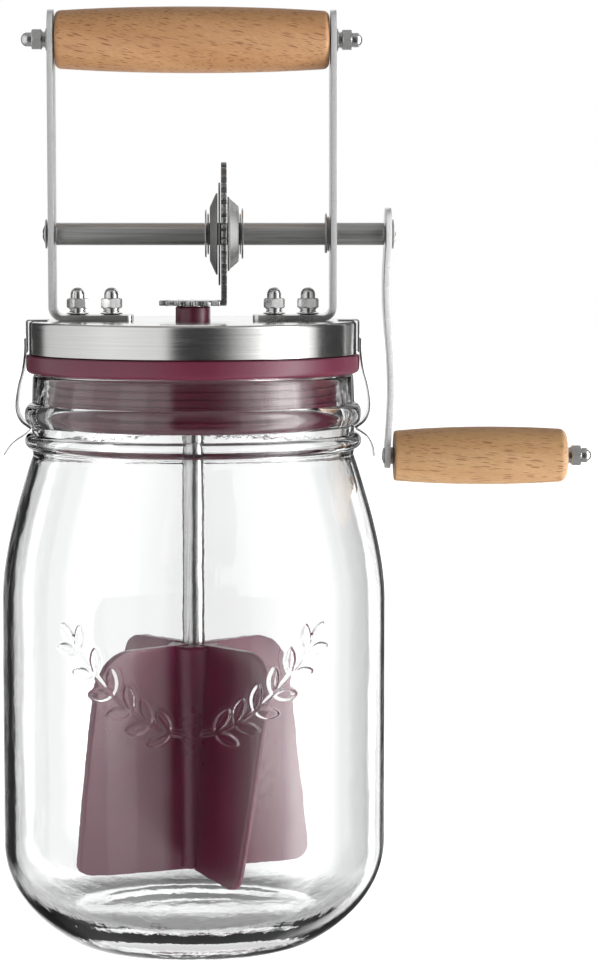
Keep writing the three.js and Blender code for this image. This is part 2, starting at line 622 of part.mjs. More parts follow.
const { ringRadius, ringThick, ringZ } = PADDLE_SHAFT;
const shaftRing = retainingRing(ringRadius, PADDLE_SHAFT.radius, ringThick).translate(0, 0, ringZ);
place("paddle_shaft", paddleShaftGeometry(), "polished");
place("paddle_shaft_ring", shaftRing, "polished");
place("paddle", paddleGeometry(), "maroon");

// ---------------------------------------------------------------- lid clips

// A strip of sheet along a path of [x, z] points, extruded across the clip's width.
function strip(path, sheet) {
  const points = path.map(([x, z]) => new THREE.Vector2(x, z));
  const sides = [1, -1].map((side) => points.map((point, i) => {
    const before = points[Math.max(i - 1, 0)];
    const after = points[Math.min(i + 1, points.length - 1)];
    const along = after.clone().sub(before).normalize();
    return [point.x - along.y * side * sheet / 2, point.y + along.x * side * sheet / 2];
  }));
  const shape = shapeOf([...sides[0], ...sides[1].reverse()]);
  return extruded(shape, CLIP.width).applyMatrix4(ALONG_Y).translate(0, CLIP.width / 2, 0);
}

function smooth(points, steps) {
  const curve = new THREE.SplineCurve(points.map(([x, z]) => new THREE.Vector2(x, z)));
  return curve.getPoints(steps).map((point) => [point.x, point.y]);
}

function springClip(side) {
  const reach = ([z, out]) => [CLIP.stripX + out, z];
  const body = smooth([...CLIP_BODY, CLIP_VEE].map(reach), CLIP.bodySteps);
  const tail = smooth([CLIP_VEE, ...CLIP_TAIL[side]].map(reach), CLIP.tailSteps);
  return strip([...body, ...tail.slice(1)], CLIP.sheet);
}

function clipPlate() {
  const { sheet, plateX, plateEnd, plateFoot } = CLIP;
  const [inner, outer] = [plateX - sheet / 2, plateX + sheet / 2];
  const foot = LID.top + FIT;
  const middle = foot + sheet / 2;
  const outline = shapeOf([
    [plateEnd, foot], [inner, foot], [inner, plateFoot], [outer, plateFoot], [outer, middle],
    [plateX, foot + sheet], [plateEnd, foot + sheet],
  ]);
  return extruded(outline, CLIP.width).applyMatrix4(ALONG_Y).translate(0, CLIP.width / 2, 0);
}

place("clip_plate_left", halfTurn(clipPlate()), "brushed");
place("clip_plate_right", clipPlate(), "brushed");
place("spring_clip_left", halfTurn(springClip("left")), "polished");
place("spring_clip_right", springClip("right"), "polished");

export default churn;
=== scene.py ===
"""The looks of the glass butter churn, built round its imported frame.

Lengths in the tables below are millimetres in the frame's own axes: +Z up, +X towards the crank
and -Y towards the front. Each fine piece stands for the faceted CAD node of the same name.
"""
import json
import math

import bmesh
import bpy
from mathutils import Matrix, Vector


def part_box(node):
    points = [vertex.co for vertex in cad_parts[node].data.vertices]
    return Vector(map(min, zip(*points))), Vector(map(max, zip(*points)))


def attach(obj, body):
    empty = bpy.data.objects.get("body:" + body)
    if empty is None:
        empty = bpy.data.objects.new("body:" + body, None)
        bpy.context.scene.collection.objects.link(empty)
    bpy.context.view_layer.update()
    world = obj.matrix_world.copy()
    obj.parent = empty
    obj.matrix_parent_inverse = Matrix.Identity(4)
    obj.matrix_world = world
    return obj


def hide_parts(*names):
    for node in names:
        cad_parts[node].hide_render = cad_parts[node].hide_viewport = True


MM = 0.001
FINE = 96  # facets round a turned piece
SMALL = 48  # facets round a small turned piece
SHARP_ANGLE = 32  # degrees: a flatter edge than this is shaded smooth

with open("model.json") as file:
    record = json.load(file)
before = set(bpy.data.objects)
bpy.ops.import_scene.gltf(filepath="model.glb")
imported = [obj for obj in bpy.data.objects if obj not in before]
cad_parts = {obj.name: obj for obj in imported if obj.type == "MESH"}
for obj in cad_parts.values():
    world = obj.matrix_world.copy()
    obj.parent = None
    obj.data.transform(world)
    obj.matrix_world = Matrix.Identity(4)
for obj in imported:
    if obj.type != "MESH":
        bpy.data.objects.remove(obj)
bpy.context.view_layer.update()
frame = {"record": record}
record = frame["record"]
BODY_OF = {node: body for body, nodes in record["behaviour"]["bodies"].items() for node in nodes}

# ---- sizes from the frame


class Span:
    """A node's box in millimetres."""

    def __init__(self, node):
        low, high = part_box(node)
        self.x0, self.y0, self.z0 = (value / MM for value in low)
        self.x1, self.y1, self.z1 = (value / MM for value in high)

    def centre(self):
        return [(self.x0 + self.x1) / 2, (self.y0 + self.y1) / 2, (self.z0 + self.z1) / 2]


JAR = Span("glass_jar")
LID = Span("lid_cap")
SEAL = Span("lid_seal")
SHAFT = Span("crank_shaft")
SHAFT_Z = SHAFT.centre()[2]
STRAP = Span("bracket_right")
STRAP_THICK = 2.1
FOOT_TOP = STRAP.z0 + STRAP_THICK
HANDLE = Span("top_handle")
HANDLE_Z = HANDLE.centre()[2]
ARM = Span("crank_arm")
GRIP = Span("crank_grip")
GRIP_Z = GRIP.centre()[2]
SHAFT_RADIUS = 4.0
JOURNAL_RADIUS = 2.8  # the shaft's thinner left-hand end
SCREW_HOLE = 2.3  # the radius of every hole for an M4 screw or rod
FIT = 0.3  # the CAD's gap between touching pieces, closed up here where nothing moves
ON_AXIS = 1e-6  # a smaller radius than this counts as none

# ---- mesh helpers

TO_X = Matrix(((0, 0, 1), (1, 0, 0), (0, 1, 0))).to_4x4()  # turns +Z into +X
FLIP = Matrix.Rotation(math.pi, 4, "Z")  # takes the right-hand side to the left-hand side
HEAD_DOWN = Matrix.Rotation(math.pi, 4, "X")
SIDES = {"left": FLIP, "right": Matrix()}  # what takes a right-hand piece to each side


def shade(mesh, sharp_angle=SHARP_ANGLE):
    mesh.shade_smooth()
    mesh.set_sharp_from_angle(angle=math.radians(sharp_angle))


def make_object(name, vertices, faces, sharp_angle=SHARP_ANGLE):
    """A closed mesh from points in millimetres, with its faces turned outwards."""
    mesh = bpy.data.meshes.new(name)
    mesh.from_pydata([Vector(v) * MM for v in vertices], [], faces)
    solid = bmesh.new()
    solid.from_mesh(mesh)
    bmesh.ops.remove_doubles(solid, verts=solid.verts, dist=1e-7)
    bmesh.ops.recalc_face_normals(solid, faces=solid.faces)
    solid.to_mesh(mesh)
    solid.free()
    shade(mesh, sharp_angle)
    made = bpy.data.objects.new(name, mesh)
    bpy.context.scene.collection.objects.link(made)
    return made


def lofted(name, rows, sharp_angle=SHARP_ANGLE):
    """A solid through rings of points, closed by its first and its last ring."""
    count = len(rows[0])
    vertices = [point for row in rows for point in row]
    faces = [tuple(range(count)), tuple(range(len(vertices) - count, len(vertices)))]
    for low in range(0, len(vertices) - count, count):
        high = low + count
        for i in range(count):
            k = (i + 1) % count
            faces.append((low + i, low + k, high + k, high + i))
    return make_object(name, vertices, faces, sharp_angle)


def moved(piece, *matrices):
    """Moves the mesh itself by each matrix in turn, with translations in millimetres."""
    for matrix in matrices:
        step = matrix.copy()
        step.translation *= MM
        piece.data.transform(step)
    return piece


def shift(x=0, y=0, z=0):
    return Matrix.Translation((x, y, z))


def spin(degrees):
    return Matrix.Rotation(math.radians(degrees), 4, "Z")


def apply_modifiers(piece):
    graph = bpy.context.evaluated_depsgraph_get()
    mesh = bpy.data.meshes.new_from_object(piece.evaluated_get(graph))
    piece.modifiers.clear()
    piece.data = mesh
    shade(mesh)
    return piece


def bevel(piece, width, segments=3, angle=35):
    modifier = piece.modifiers.new("edges", "BEVEL")
    modifier.width = width * MM
    modifier.segments = segments
    modifier.limit_method = "ANGLE"
    modifier.angle_limit = math.radians(angle)
    return apply_modifiers(piece)


def weld(piece, within):
    """Joins points that a bevel or a boolean left closer together than a distance."""
    solid = bmesh.new()
    solid.from_mesh(piece.data)
    bmesh.ops.remove_doubles(solid, verts=solid.verts, dist=within * MM)
    solid.to_mesh(piece.data)
    solid.free()
    return piece


def combine(piece, others, operation):
    """Adds the other pieces to this one or cuts them out of it, and removes them."""
    for other in others:
        modifier = piece.modifiers.new("combine", "BOOLEAN")
        modifier.operation = operation
        modifier.solver = "EXACT"
        modifier.object = other
        apply_modifiers(piece)
        bpy.data.objects.remove(other)
    return weld(piece, 0.002)


def rounded(points, closed=False):
    """Fillets an outline: a point (u, v, radius) becomes an arc, and a point (u, v) stays sharp."""
    steps = 4
    most = 0.48  # an arc takes at most this share of the side it is on
    result = []
    last = len(points) - 1
    for i, point in enumerate(points):
        ends_here = not closed and i in (0, last)
        radius = point[2] if len(point) > 2 else 0
        corner = Vector(point[:2])
        if ends_here or radius == 0:
            result.append(tuple(corner))
            continue
        before = Vector(points[i - 1][:2]) - corner
        after = Vector(points[(i + 1) % len(points)][:2]) - corner
        half = before.angle(after) / 2
        reach = min(radius / math.tan(half), before.length * most, after.length * most)
        start = corner + before.normalized() * reach
        end = corner + after.normalized() * reach
        for k in range(steps + 1):
            t = k / steps
            point_on = start * (1 - t) ** 2 + corner * (2 * t * (1 - t)) + end * t**2
            result.append(tuple(point_on))
    return result


def even_angles(count):
    return [2 * math.pi * i / count for i in range(count)]


def turned(name, profile, sides=FINE, radius_at=None, angles=None, sharp_angle=SHARP_ANGLE):
    """Turns a profile of (radius, height) about +Z. A profile that doesn't start on the axis is a loop.

    radius_at(radius, height, angle) can change a point's radius.
    """
    angles = angles or even_angles(sides)
    count = len(angles)
    vertices = []
    rows = []
    for radius, height in profile:
        row_start = len(vertices)
        if radius < ON_AXIS:
            vertices.append((0, 0, height))
            rows.append([row_start] * count)
            continue
        for angle in angles:
            r = radius_at(radius, height, angle) if radius_at else radius
            vertices.append((r * math.cos(angle), r * math.sin(angle), height))
        rows.append([row_start + i for i in range(count)])
    if profile[0][0] > ON_AXIS:
        rows.append(rows[0])
    faces = []
    for low, high in zip(rows, rows[1:]):
        for i in range(count):
            k = (i + 1) % count
            corners = (low[i], low[k], high[k], high[i])
            face = tuple(dict.fromkeys(corners))
            if len(face) > 2:
                faces.append(face)
    return make_object(name, vertices, faces, sharp_angle)


def flat_ring(name, bore, outer, low, high, rims=(0.1, 0.2), sides=SMALL):
    """A washer or disc about +Z, its bore's and its outer edges rounded by rims."""
    inside, outside = rims
    return turned(name, rounded([
        (bore, low, inside), (outer, low, outside), (outer, high, outside), (bore, high, inside),
    ], closed=True), sides)


def about_x(piece, x=0.0, z=SHAFT_Z):
    return moved(piece, TO_X, shift(x, 0, z))


def extruded(name, outline, depth):
    """A prism of an outline in the XY plane, from height 0 to depth."""
    return lofted(name, [[(x, y, z) for x, y in outline] for z in (0, depth)])


def rod(name, radius, low, high):
    return turned(name, [(0, low), (radius, low), (radius, high), (0, high)], SMALL)


def arc(centre, radius, start, end, steps):
    """Points of an arc, with its angles in degrees."""
    points = []
    for i in range(steps + 1):
        angle = math.radians(start + (end - start) * i / steps)
        points.append((centre[0] + radius * math.cos(angle), centre[1] + radius * math.sin(angle)))
    return points


def bezier(a, b, c, d, steps):
    points = []
    for i in range(steps + 1):
        t = i / steps
        weights = ((1 - t) ** 3, 3 * t * (1 - t) ** 2, 3 * t**2 * (1 - t), t**3)
        points.append(tuple(sum(w * p[axis] for w, p in zip(weights, (a, b, c, d))) for axis in (0, 1)))
    return points


def smooth_path(points, steps):
    """A smooth line through [x, z] points, with that many steps between each pair."""
    ends = [points[0], *points, points[-1]]
    line = []
    for i in range(1, len(ends) - 2):
        before, start, end, after = (Vector(p) for p in ends[i - 1:i + 3])
        for k in range(steps):
            t = k / steps
            line.append(tuple(0.5 * (
                2 * start + (end - before) * t
                + (2 * before - 5 * start + 4 * end - after) * t**2
                + (3 * start - before - 3 * end + after) * t**3
            )))
    line.append(tuple(points[-1]))
    return line


def sheet_strip(name, stations, thick, edge):
    """A strip of sheet metal across Y. Each station is (x, z, half width) on one of its faces.

    The sheet's other face lies thick to the left of the direction of travel.
    """
    sharp = 50  # degrees: only the corners of the strip's section are bevelled
    rows = []
    for i, (x, z, half) in enumerate(stations):
        before = stations[max(i - 1, 0)]
        after = stations[min(i + 1, len(stations) - 1)]
        along = Vector((after[0] - before[0], after[1] - before[1])).normalized()
        far_x, far_z = x - along.y * thick, z + along.x * thick
        rows.append([(x, -half, z), (x, half, z), (far_x, half, far_z), (far_x, -half, far_z)])
    return weld(bevel(lofted(name, rows), edge, 2, sharp), 0.03)


# ---- materials


class Tree:
    """Short names for building a node tree."""

    def __init__(self, tree):
        self.tree = tree

    def add(self, kind, inputs=(), **settings):
        made = self.tree.nodes.new(kind)
        for key, value in settings.items():
            setattr(made, key, value)
        for key, value in dict(inputs).items():
            self.feed(made.inputs[key], value)
        return made

    def feed(self, socket, value):
        if isinstance(value, bpy.types.NodeSocket):
            self.tree.links.new(value, socket)
        else:
            socket.default_value = value

    def math(self, operation, a, b=0.0):
        return self.add("ShaderNodeMath", {0: a, 1: b}, operation=operation).outputs[0]

    def remap(self, value, low, high, to_low=0, to_high=1):
        return self.add("ShaderNodeMapRange", {
            "Value": value, "From Min": low, "From Max": high, "To Min": to_low, "To Max": to_high,
        }).outputs[0]

    def mix(self, factor, a, b):
        """A colour or value on the way from a to b."""
        made = self.add("ShaderNodeMix", data_type="RGBA")
        self.feed(made.inputs[0], factor)
        for socket, value in ((made.inputs[6], a), (made.inputs[7], b)):
            self.feed(socket, (*value, 1) if isinstance(value, tuple) else value)
        return made.outputs[2]

    def levels(self, value, stops, top):
        """A smooth curve through (place from 0 to 1, level up to top) stops."""
        made = self.add("ShaderNodeValToRGB", {"Fac": value})
        elements = made.color_ramp.elements
        while len(elements) < len(stops):
            elements.new(0.5)
        for element, (place, level) in zip(elements, stops):
            element.position = place
            element.color = (*[level / top] * 3, 1)
        return self.math("MULTIPLY", made.outputs[0], top)


class Look(Tree):
    """A material built round one Principled shader."""

    def __init__(self, name, color, roughness, metallic=0.0):
        self.material = bpy.data.materials.new(name)
        self.material.use_nodes = True
        super().__init__(self.material.node_tree)
        self.shader = self.tree.nodes["Principled BSDF"]
        self.put("Base Color", (*color, 1))
        self.put("Roughness", roughness)
        self.put("Metallic", metallic)

    def put(self, socket, value):
        """Sets one of the shader's own sockets to a constant, or links it."""
        self.feed(self.shader.inputs[socket], value)

    def place(self, scale=(1, 1, 1), tilt=0):
        """Object coordinates in metres, tilted about Y by degrees and then times scale."""
        coordinates = self.add("ShaderNodeTexCoord").outputs["Object"]
        if tilt:
            coordinates = self.add("ShaderNodeMapping", {
                "Vector": coordinates, "Rotation": (0, math.radians(tilt), 0),
            }).outputs[0]
        return self.add("ShaderNodeMapping", {"Vector": coordinates, "Scale": scale}).outputs[0]

    def around(self, axis, at, scale):
        """(distance from an axis, place along it, angle about it), times scale."""
        coordinates = self.add("ShaderNodeTexCoord").outputs["Object"]
        centred = self.add("ShaderNodeVectorMath", {0: coordinates, 1: [-v * MM for v in at]})
        parts = self.add("ShaderNodeSeparateXYZ", {0: centred.outputs[0]}).outputs
        across = [parts[k] for k in range(3) if k != axis]
        squares = [self.math("MULTIPLY", part, part) for part in across]
        distance = self.math("SQRT", self.math("ADD", *squares))
        angle = self.math("ARCTAN2", *across)
        joined = self.add("ShaderNodeCombineXYZ", {0: distance, 1: parts[axis], 2: angle})
        return self.add("ShaderNodeVectorMath", {
            0: joined.outputs[0], 1: scale,
        }, operation="MULTIPLY").outputs[0]

    def split(self, kind):
        """The three parts of a kind of texture coordinates."""
        coordinates = self.add("ShaderNodeTexCoord").outputs[kind]
        return self.add("ShaderNodeSeparateXYZ", {0: coordinates}).outputs

    def rise(self, start, end, low, high):
        """Goes from low to high between two heights in millimetres."""
        return self.remap(self.split("Object")[2], start * MM, end * MM, low, high)

    def cut_edge(self, above):
        """1 on the faces of a sheet that look along Y, above a height in millimetres."""
        facing = self.remap(self.math("ABSOLUTE", self.split("Normal")[1]), 0.45, 0.75)
        return self.math("MULTIPLY", facing, self.rise(above, above + 3, 0, 1))

    def noise(self, vector, scale, detail=3.0, roughness=0.55):
        return self.add("ShaderNodeTexNoise", {
            "Vector": vector, "Scale": scale, "Detail": detail, "Roughness": roughness,
        }).outputs["Fac"]

    def dashes(self, vector, reach, share):
        """Separate short strokes, one in some cells of the stretched space, 1 at their middle."""
        made = self.add("ShaderNodeTexVoronoi", {"Vector": vector, "Scale": 1.0})
        chance = self.add("ShaderNodeSeparateXYZ", {0: made.outputs["Color"]}).outputs[0]
        chosen = self.remap(chance, 1 - share, 1.1 - share)
        return self.math("MULTIPLY", self.remap(made.outputs["Distance"], reach * 0.7, reach, 1, 0), chosen)

    def bump(self, height, strength, distance):
        made = self.add("ShaderNodeBump", {
            "Height": height, "Strength": strength, "Distance": distance * MM,
        })
        self.put("Normal", made.outputs[0])


def scaled(color, factor):
    return tuple(min(1.0, c * factor) for c in color)


def glass():
    """Clear moulded glass with slow waves in its skin, and dimples that deepen in the base and neck."""
    look = Look("jar glass", (0.985, 0.99, 0.99), 0.0)
    look.put("Transmission Weight", 1.0)
    look.put("IOR", 1.5)
    waves = look.noise(look.place((1, 1, 0.6)), 38, 2.0)
    dimples = look.noise(look.place(), 160)
    wall_dimples, neck_dimples, base_dimples = 0.12, 0.35, 0.9
    in_base = look.rise(26, 8, wall_dimples, base_dimples)
    depth = look.math("MAXIMUM", in_base, look.rise(168, 176, wall_dimples, neck_dimples))
    look.bump(look.math("ADD", waves, look.math("MULTIPLY", dimples, depth)), 0.35, 0.5)
    return look.material


def brushed(name, grey, roughness, streaks, contrast=0.25, depth=0.01, cut_above=None, cut_grey=0.0):
    """Metal with fine streaks. streaks makes their vector, stretched along the grain.

    Above the height cut_above, the sheet's cut edges have their own grey and are duller than its faces.
    """
    look = Look(name, (grey, grey, grey), roughness, 1.0)
    fine = look.noise(streaks(look), 1.0, 4.0, 0.7)
    cloud = look.noise(look.place(), 60)
    base = (grey, grey, grey * 0.99)
    streak = look.remap(fine, 0.3, 0.7)
    tone = look.mix(streak, scaled(base, 1 - contrast), scaled(base, 1 + contrast))
    stain = look.remap(cloud, 0.45, 0.75, 0, contrast)
    tone = look.mix(stain, tone, scaled(base, 0.6))
    dull_streak = look.remap(fine, 0.3, 0.7, roughness - 0.04, roughness + 0.05)
    dull = look.math("ADD", dull_streak, look.remap(cloud, 0.4, 0.8, 0, 0.05))
    if cut_above is not None:
        cut = look.cut_edge(cut_above)
        grit = look.remap(look.noise(look.place(), 2600, 2.0), 0.3, 0.7, cut_grey - 0.1, cut_grey + 0.1)
        tone = look.mix(cut, tone, grit)
        dull = look.remap(cut, 0, 1, dull, 0.75)
    look.put("Base Color", tone)
    look.put("Roughness", dull)
    look.bump(fine, 0.4, depth)
    return look.material


def grain_along(scale):
    return lambda look: look.place(scale)


def grain_around(axis, at, scale):
    return lambda look: look.around(axis, at, scale)


def moulded(name, color, roughness):
    """Moulded plastic or silicone with faint flow marks."""
    look = Look(name, color, roughness)
    flow = look.noise(look.place((1, 1, 0.4)), 45)
    skin = look.noise(look.place(), 300, 2.0)
    mark = look.remap(flow, 0.35, 0.7)
    look.put("Base Color", look.mix(mark, scaled(color, 0.85), scaled(color, 1.15)))
    dull_mark = look.remap(flow, 0.3, 0.7, roughness - 0.04, roughness + 0.04)
    look.put("Roughness", look.math("ADD", dull_mark, look.remap(skin, 0.3, 0.7, 0, 0.03)))
    look.bump(flow, 0.3, 0.03)
    return look.material


def beech(name, light, dark, pore, tilt):
    """Oiled beech whose grain runs along X, tilted a little, with short dark pores and rays."""
    look = Look(name, light, 0.5)
    bands = look.noise(look.place((9, 110, 170), tilt), 1.0, 4.0, 0.6)
    cloud = look.noise(look.place((40, 120, 120), tilt), 1.0)
    fibres = look.noise(look.place((500, 3000, 3000), tilt), 1.0, 3.0, 0.7)
    fine = look.dashes(look.place((160, 1900, 1900), tilt), 0.36, 0.6)
    rays = look.dashes(look.place((110, 1250, 1250), tilt), 0.3, 0.4)
    tone = look.mix(look.remap(bands, 0.32, 0.68), light, dark)
    tone = look.mix(look.remap(cloud, 0.35, 0.7, 0, 0.3), tone, scaled(dark, 0.8))
    tone = look.mix(look.remap(fibres, 0.35, 0.72, 0, 0.35), tone, pore)
    tone = look.mix(look.math("MULTIPLY", fine, 0.7), tone, pore)
    tone = look.mix(look.math("MULTIPLY", rays, 0.8), tone, scaled(pore, 0.8))
    look.put("Base Color", tone)
    look.put("Roughness", look.remap(fibres, 0.3, 0.7, 0.42, 0.58))
    dents = look.math("SUBTRACT", fibres, look.math("MULTIPLY", fine, 1.2))
    look.bump(dents, 0.3, 0.05)
    return look.material


AT_SHAFT = (0, 0, SHAFT_Z)
AT_JAR = (0, 0, 0)
# A brushed metal's numbers are its grey, its roughness and the scales that stretch its streaks.
MATERIALS = {
    "glass": glass(),
    "seal": moulded("maroon silicone", (0.100, 0.007, 0.028), 0.34),
    "plastic": moulded("maroon plastic", (0.118, 0.008, 0.036), 0.30),
    "lid": brushed("lid steel", 0.52, 0.16, grain_around(2, AT_JAR, (3800, 3800, 0.9)), 0.08, 0.004),
    "strap": brushed("strap steel", 0.55, 0.26, grain_along((70, 5200, 70)), 0.15, 0.01, FOOT_TOP, 0.57),
    "arm": brushed("arm steel", 0.58, 0.26, grain_along((400, 4200, 60)), 0.15, 0.01, 0, 0.8),
    "spring": brushed("spring steel", 0.66, 0.16, grain_along((60, 4600, 60)), 0.12, 0.004),
    "shaft": brushed("shaft steel", 0.40, 0.38, grain_along((26, 2600, 2600)), 0.3, 0.015),
    "gear": brushed("gear steel", 0.27, 0.3, grain_around(0, AT_SHAFT, (3600, 900, 1.5)), 0.3, 0.015),
    "plate": brushed("plate steel", 0.27, 0.5, grain_around(0, AT_SHAFT, (4200, 2000, 1.2)), 0.25),
    "pinion": brushed("pinion steel", 0.30, 0.24, grain_around(2, AT_JAR, (3600, 900, 1.5)), 0.3, 0.015),
    "rod": brushed("rod steel", 0.55, 0.22, grain_along((2200, 2200, 60)), 0.2),
    "plated": brushed("plated steel", 0.5, 0.2, grain_along((500, 500, 500)), 0.06, 0.002),
    "dull": brushed("washer steel", 0.35, 0.3, grain_along((900, 900, 900)), 0.2),
    "handle": beech("beech handle", (0.48, 0.266, 0.123), (0.385, 0.194, 0.08), (0.165, 0.055, 0.02), -13),
    "grip": beech("beech grip", (0.51, 0.31, 0.146), (0.435, 0.243, 0.105), (0.2, 0.08, 0.03), -5),
}


def show(piece, look):
    """Gives a piece its look, and lets it ride with and stand for the CAD node that it is named after."""
    node = piece.name.removeprefix("fine_")
    piece.data.materials.clear()
    piece.data.materials.append(MATERIALS[look])
    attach(piece, BODY_OF[node])
    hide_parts(node)


# ---- jar

JAR_WALL = 3.9
JAR_FLOOR = 6.5
FOOT_RADIUS = 46.0
HEEL_TOP = 34.0
SHOULDER_FOOT = 122.0
NECK_FOOT = 174.6
NECK_RADIUS = 57.7
NECK_WALL = 3.9
BEAD_REACH = 2.9
BEADS = ((179.6, 2.9), (189.2, 4.1))  # each bead's height and half thickness
RIM_ROUND = 1.4
PUSH_UP = 1.4  # how far the underside is hollowed inside the foot ring

# The relief is a plain pair of leafy sprigs on the front of the wall.
RELIEF_LOW = 74.0
RELIEF_HIGH = 122.0
RELIEF_HALF_ANGLE = math.radians(50)
RELIEF_DEPTH = 0.75
LEAF_PAIRS = 6
LEAF_LENGTH = 9.5
LEAF_WIDTH = 4.4
STEM_START = 3.0  # along the wall from the middle of the front
STEM_RUN = 41.0
STEM_HALF_WIDTH = 0.9


def sprig_point(share):
    """The sprig's stem from the middle of the front outwards: (arc length, height)."""
    return STEM_START + STEM_RUN * share, 84.0 + 30.0 * share**1.7


def leaf_shapes():
    """Each leaf as (centre along the wall, centre height, direction), for the right-hand sprig."""
    spread = math.radians(42)  # between a leaf and the stem
    offset = LEAF_LENGTH * 0.55  # of a leaf's centre from the stem
    step = 0.02  # along the stem, to find its direction
    leaves = []
    for i in range(LEAF_PAIRS):
        share = (i + 0.6) / LEAF_PAIRS
        here, ahead = sprig_point(share), sprig_point(share + step)
        heading = math.atan2(ahead[1] - here[1], ahead[0] - here[0])
        for side in (-1, 1):
            lean = heading + side * spread
            leaves.append((here[0] + offset * math.cos(lean), here[1] + offset * math.sin(lean), lean))
    tip = sprig_point(1.0)
    leaves.append((tip[0] + 2, tip[1] + 3, math.radians(50)))
    return leaves


LEAVES = leaf_shapes()


def relief_height(along, height):
    """How far the relief stands out, from 0 to 1, at an arc length from the front and a height."""
    along = abs(along)
    best = 0.0
    for u, v, lean in LEAVES:
        du, dv = along - u, height - v
        forward = (du * math.cos(lean) + dv * math.sin(lean)) / (LEAF_LENGTH / 2)
        if abs(forward) >= 1:
            continue
        sideways = abs(-du * math.sin(lean) + dv * math.cos(lean)) / (LEAF_WIDTH / 2)
        room = (1 - forward**2) ** 0.8
        if sideways < room:
            edge = min(1.0, (room - sideways) * 3.2)
            vein = 0.35 * max(0.0, 1 - sideways * 7)
            best = max(best, edge * edge * (3 - 2 * edge) - vein)
    share = (along - STEM_START) / STEM_RUN
    if 0 < share < 1:
        stem = abs(height - sprig_point(share)[1]) / STEM_HALF_WIDTH
        best = max(best, 0.7 * (1 - stem**2))
    return best


def jar_radius(radius, height, angle):
    """The radius of the wall, with the relief standing out from its outer face at the front."""
    if not RELIEF_LOW < height < RELIEF_HIGH or radius < JAR.x1 - JAR_WALL / 2:
        return radius
    from_front = math.remainder(angle + math.pi / 2, 2 * math.pi)
    if abs(from_front) > RELIEF_HALF_ANGLE:
        return radius
    return radius + RELIEF_DEPTH * relief_height(from_front * radius, height)


def jar_profile():
    body, mouth = JAR.x1, NECK_RADIUS - NECK_WALL
    inside = body - JAR_WALL
    rim = JAR.z1 - RIM_ROUND
    wall_steps = 110
    outer = bezier((0, PUSH_UP), (24, PUSH_UP), (34, 0.4), (FOOT_RADIUS - 4, 0), 16)
    outer += bezier((FOOT_RADIUS, 0), (60, 8), (body, 20), (body, HEEL_TOP), 24)
    outer += [
        (body, RELIEF_LOW + (RELIEF_HIGH - RELIEF_LOW) * i / wall_steps) for i in range(wall_steps)
    ]
    outer += bezier((body, SHOULDER_FOOT), (body, 137.8), (63.5, 156.7), (NECK_RADIUS, NECK_FOOT), 28)
    for height, half in BEADS:
        outer += [
            (NECK_RADIUS + BEAD_REACH * out, height + half * up)
            for out, up in arc((0, 0), 1, -84, 84, 12)
        ]
    outer += arc((NECK_RADIUS - RIM_ROUND, rim), RIM_ROUND, 0, 90, 6)
    inner = arc((mouth + RIM_ROUND, rim), RIM_ROUND, 90, 180, 6)
    inner += bezier((mouth, NECK_FOOT + 1), (59.8, 156.7), (inside, 137.8), (inside, SHOULDER_FOOT), 24)
    inner += bezier((inside, HEEL_TOP), (inside, 21), (56, JAR_FLOOR + 3), (40, JAR_FLOOR), 20)
    inner += [(0, JAR_FLOOR - 0.8)]
    return outer + inner


def jar_angles():
    """Fine steps across the relief at the front, and wider ones round the rest."""
    fine, coarse = 270, 120
    front = -math.pi / 2
    angles = [
        front - RELIEF_HALF_ANGLE + 2 * RELIEF_HALF_ANGLE * i / fine for i in range(fine)
    ]
    rest = 2 * math.pi - 2 * RELIEF_HALF_ANGLE
    angles += [front + RELIEF_HALF_ANGLE + rest * i / coarse for i in range(coarse)]
    return angles


jar = turned("fine_glass_jar", jar_profile(), radius_at=jar_radius, angles=jar_angles(), sharp_angle=60)
show(jar, "glass")

# ---- lid, seal and bush

LID_SHEET = 0.8
SEAL_FLANGE_FOOT = JAR.z1 + 0.2
SEAL_FLANGE_TOP = 210.3
SEAL_PLUG_RADIUS = 52.0
SEAL_PLUG_WALL = 3.2
SEAL_PLATE_FOOT = 208.6
RIBS = 6
RIB_PITCH = 2.6
RIB_REACH = 0.8
BUSH_RADIUS = 6.25
FOOT_SCREW_X = (-41.3, -29.2, 29.2, 41.3)


def lid():
    radius, top, foot = LID.x1, LID.z1, LID.z0
    inner = radius - LID_SHEET
    hole = BUSH_RADIUS + FIT
    cap = turned("fine_lid_cap", rounded([
        (inner, foot, 0.3), (radius, foot, 0.4), (radius - 0.15, foot + 1.4, 0.5),
        (radius - 0.15, top, 1.3), (hole, top, 0.2), (hole, top - LID_SHEET), (inner, top - LID_SHEET, 0.6),
    ], closed=True), 160)
    off_seam = spin(2)  # no corner of a hole meets an edge of the lid
    holes = [moved(rod("hole", SCREW_HOLE, foot, top + 2), off_seam, shift(x)) for x in FOOT_SCREW_X]
    return combine(cap, holes, "DIFFERENCE")


